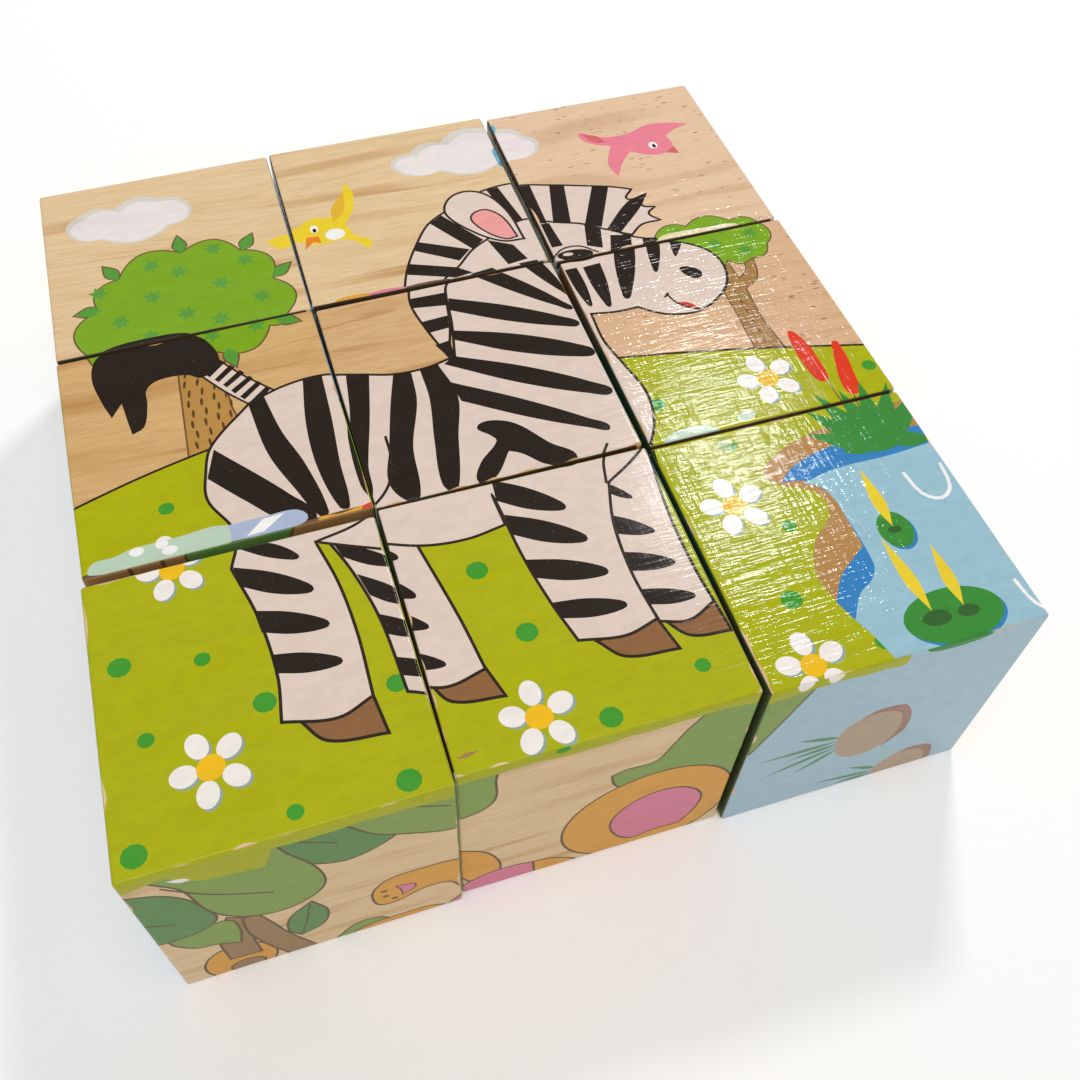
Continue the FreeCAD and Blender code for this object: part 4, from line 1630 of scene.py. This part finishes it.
# The middle row was sawn from darker bars.
WOOD_TINT = {"middle_left": "#efdfc4", "middle_middle": "#f0e2d2", "middle_right": "#f3eade"}


def read_wood(tree, cube):
    """Colour and height of the wood of one cube."""
    number = CUBES.index(cube)
    coordinates = tree.nodes.new("ShaderNodeTexCoord").outputs["Object"]
    shift = (0.13 * number, 0.021 * (number % 4), 0.013 * (number % 3))
    tilt = math.radians(1.6 * (number % 5) - 3.2)
    place = mapped(tree, coordinates, place=shift, turn=(0.3 * number, 0.4 * tilt, tilt))
    group = add(tree, "ShaderNodeGroup")
    group.node_tree = CLOSE_GRAINED if cube.endswith("right") else PINE
    tree.links.new(place, group.inputs[0])
    colour = blended(tree, 1.0, group.outputs["Colour"], WOOD_TINT.get(cube, "#ffffff"), "MULTIPLY")
    return colour, group.outputs["Height"], coordinates


# %% Bare wood for the blocks
def start_material(name):
    """Empty node material with its Principled shader."""
    material = bpy.data.materials.new(name)
    material.use_nodes = True
    return material, material.node_tree, material.node_tree.nodes["Principled BSDF"]


def bare_wood(cube):
    """Sanded wood without lacquer."""
    material, tree, shader = start_material("bare_wood_" + cube)
    colour, height, _ = read_wood(tree, cube)
    tree.links.new(colour, shader.inputs["Base Color"])
    tree.links.new(graded(tree, height, 0.1, 0.9, 0.62, 0.8), shader.inputs["Roughness"])
    bump = add(tree, "ShaderNodeBump", {"Height": height, "Distance": 0.00008, "Strength": 0.7})
    tree.links.new(bump.outputs[0], shader.inputs["Normal"])
    return material


for cube in CUBES:
    frame["nodes"]["block_" + cube].data.materials.clear()
    frame["nodes"]["block_" + cube].data.materials.append(bare_wood(cube))
print("bare wood on", len(CUBES), "blocks")

# %% [markdown]
# ## Print under lacquer
#
# The print is a transfer film, and clear lacquer lies over it. The film is so thin that the
# grain of the wood stands out in it, both in its tone and as fine ripples in the gloss. Its
# colour comes from the ink attribute, and where the cover is low the wood shows. Tiny specks
# are missing from it. The lacquer is the shader's coat, with ripples of its own: they break
# every reflection into short lines along the grain. The right-hand cubes have a glossier and
# more rippled coat than the others.

# %% The lacquered print
# Marks in one metre, along the grain and twice across it.
FILM = {
    "mottle": (520, 900, 900),
    "specks": (2600, 4200, 4200),
    "ripple": (260, 2300, 2300),
    "sanding": (2000, 240, 240),
    "dimple": (900, 900, 900),
}
RELIEF = 0.00006       # m, height of the ripples
COAT_WEIGHT, COAT_IOR = 0.45, 1.38
GLOSSY = {"sanding": 0.5, "film bump": 0.6, "coat bump": 1.0, "coat roughness": 0.035}
CALM_COAT = {"sanding": 0.2, "film bump": 0.35, "coat bump": 0.4, "coat roughness": 0.12}


def lacquered_print(cube):
    """Wood, ink film and clear lacquer of one cube."""
    material, tree, shader = start_material("lacquered_print_" + cube)
    wood, height, coordinates = read_wood(tree, cube)
    coat = GLOSSY if cube.endswith("right") else CALM_COAT
    ink = add(tree, "ShaderNodeAttribute")
    ink.attribute_name = "ink"
    mottle = noise(tree, mapped(tree, coordinates, FILM["mottle"]), 1.0, 3)
    tone = calculate(tree, "MULTIPLY_ADD", graded(tree, mottle, 0.3, 0.7, -0.5, 0.5), 0.07, 1.0)
    tone = calculate(tree, "MULTIPLY_ADD", graded(tree, height, 0.2, 0.85, -0.5, 0.5), 0.1, tone)
    film = add(tree, "ShaderNodeVectorMath", {0: ink.outputs["Color"], "Scale": tone},
               operation="SCALE").outputs[0]
    specks = noise(tree, mapped(tree, coordinates, FILM["specks"]), 1.0, 1)
    held = graded(tree, specks, 0.2, 0.28, 0.7, 1.0)
    cover = calculate(tree, "MULTIPLY", ink.outputs["Alpha"], held)
    tree.links.new(blended(tree, cover, wood, film), shader.inputs["Base Color"])
    ripple = noise(tree, mapped(tree, coordinates, FILM["ripple"]), 1.0, 1)
    sanding = noise(tree, mapped(tree, coordinates, FILM["sanding"]), 1.0, 1)
    dimple = noise(tree, mapped(tree, coordinates, FILM["dimple"]), 1.0, 2)
    relief = calculate(tree, "MULTIPLY_ADD", height, 0.25, ripple)
    relief = calculate(tree, "MULTIPLY_ADD", dimple, 0.3, relief)
    relief = calculate(tree, "MULTIPLY_ADD", sanding, coat["sanding"], relief)
    for strength, socket in (("film bump", "Normal"), ("coat bump", "Coat Normal")):
        bump = add(tree, "ShaderNodeBump", {
            "Height": relief, "Distance": RELIEF, "Strength": coat[strength],
        })
        tree.links.new(bump.outputs[0], shader.inputs[socket])
    tree.links.new(graded(tree, mottle, 0.3, 0.7, 0.4, 0.56), shader.inputs["Roughness"])
    shader.inputs["Coat Weight"].default_value = COAT_WEIGHT
    shader.inputs["Coat IOR"].default_value = COAT_IOR
    shader.inputs["Coat Roughness"].default_value = coat["coat roughness"]
    shader.inputs["Specular IOR Level"].default_value = 0.0
    return material


# %% [markdown]
# ## Put the prints on the cubes
#
# A cube has two pieces of print: the top one, and one that holds the five other faces.

# %% Make all the prints
def print_on(cube, kind, faces, finish):
    """One piece of print, which rides on its cube and stands for its CAD node."""
    name = kind.replace("print", "picture") + "_" + cube
    sheets = {face: sheet_shapes(cube, face) for face in faces}
    piece = print_piece(name, cube, sheets, finish)
    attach(piece, "cube_" + cube)
    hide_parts(kind + "_" + cube)
    return len(piece.data.polygons)


for cube in CUBES:
    finish = lacquered_print(cube)
    counts = (print_on(cube, "top_print", ["top"], finish),
              print_on(cube, "other_prints", [face for face in FACE_TURN if face != "top"], finish))
    print(cube, "prints have", counts, "faces")

# %% [markdown]
# ## Floor, light and camera
#
# A pale floor and an even pale room keep the colours true. A wide, soft overhead light comes a
# little from the front. A small one stands behind on the right, where the lacquer of the
# right-hand cubes mirrors it to the camera. The camera sees a brighter room than the one that
# lights the cubes, so the floor fades into it.

# %% Floor
FLOOR_REACH = 20.0     # m from the set to each side
FLOOR_GLOW = 0.07      # the paper is back-lit a little, so that it stays pale


def pale_floor():
    """Level sheet of pale paper, much wider than the set."""
    mesh = bpy.data.meshes.new("floor")
    corners = [(x * FLOOR_REACH, y * FLOOR_REACH, 0)
               for x, y in ((-1, -1), (1, -1), (1, 1), (-1, 1))]
    mesh.from_pydata(corners, [], [(0, 1, 2, 3)])
    floor = linked_object("floor", mesh)
    material, tree, shader = start_material("pale_paper")
    coordinates = tree.nodes.new("ShaderNodeTexCoord").outputs["Object"]
    cloudy = noise(tree, coordinates, 9.0, 3)
    tree.links.new(blended(tree, cloudy, "#f8f7f6", "#fbfaf9"), shader.inputs["Base Color"])
    shader.inputs["Roughness"].default_value = 0.9
    shader.inputs["Specular IOR Level"].default_value = 0.1
    shader.inputs["Emission Color"].default_value = (1, 1, 1, 1)
    shader.inputs["Emission Strength"].default_value = FLOOR_GLOW
    mesh.materials.append(material)


pale_floor()

# %% Lights
def soft_light(name, place, aim, size, watts):
    """Square area light that faces a point."""
    light = bpy.data.lights.new(name, "AREA")
    light.size = size
    light.energy = watts
    holder = bpy.data.objects.new(name, light)
    holder.location = place
    holder.rotation_euler = (Vector(aim) - Vector(place)).to_track_quat("-Z", "Y").to_euler()
    bpy.context.scene.collection.objects.link(holder)


ROOM_LIGHT = 0.32      # what the room gives to the cubes
ROOM_SEEN = 0.93       # how bright the camera sees it
OVERHEAD_POWER = 1.42
OVERHEAD_SPREAD = math.radians(44)
OVERHEAD_WAY = Vector((0.08, 0.29, -1))
GLINT_PLACE, GLINT_AIM = (0.31, 0.385, 0.63), (0.025, -0.022, 0.035)
GLINT_SIZE, GLINT_WATTS = 0.1, 1.7

room = bpy.data.worlds.new("pale_room")
bpy.context.scene.world = room
room.use_nodes = True
backdrop = room.node_tree.nodes["Background"]
backdrop.inputs["Color"].default_value = (1.0, 0.985, 0.97, 1)
seen = room.node_tree.nodes.new("ShaderNodeLightPath").outputs["Is Camera Ray"]
strength = graded(room.node_tree, seen, 0.0, 1.0, ROOM_LIGHT, ROOM_SEEN)
room.node_tree.links.new(strength, backdrop.inputs["Strength"])

wide_lamp = bpy.data.lights.new("overhead_light", "SUN")
wide_lamp.energy = OVERHEAD_POWER
wide_lamp.angle = OVERHEAD_SPREAD
overhead = bpy.data.objects.new("overhead_light", wide_lamp)
overhead.rotation_euler = OVERHEAD_WAY.to_track_quat("-Z", "Y").to_euler()
bpy.context.scene.collection.objects.link(overhead)
soft_light("glint_light", GLINT_PLACE, GLINT_AIM, GLINT_SIZE, GLINT_WATTS)
bpy.context.scene.view_settings.view_transform = "Standard"
print("two soft lights in a pale room")

# %% Camera
EYE = Vector((-27.4, -99.0, 146.3)) * MM
AIM = Vector((-1.2, -16.0, 35)) * MM
ROLL = math.radians(0.54)
FOCAL_LENGTH, SENSOR = 38.7, 36          # mm
SHIFT_X, SHIFT_Y = 0.037, -0.065         # shares of the frame

lens = bpy.data.cameras.new("camera")
lens.sensor_width = SENSOR
lens.lens = FOCAL_LENGTH
lens.shift_x = SHIFT_X
lens.shift_y = SHIFT_Y
camera = bpy.data.objects.new("camera", lens)
bpy.context.scene.collection.objects.link(camera)
camera.location = EYE
straight = (AIM - EYE).to_track_quat("-Z", "Y")
camera.rotation_euler = (straight @ Quaternion((0, 0, 1), ROLL)).to_euler()
bpy.context.scene.camera = camera
print("the camera is", round((AIM - EYE).length / MM), "mm from the tops")
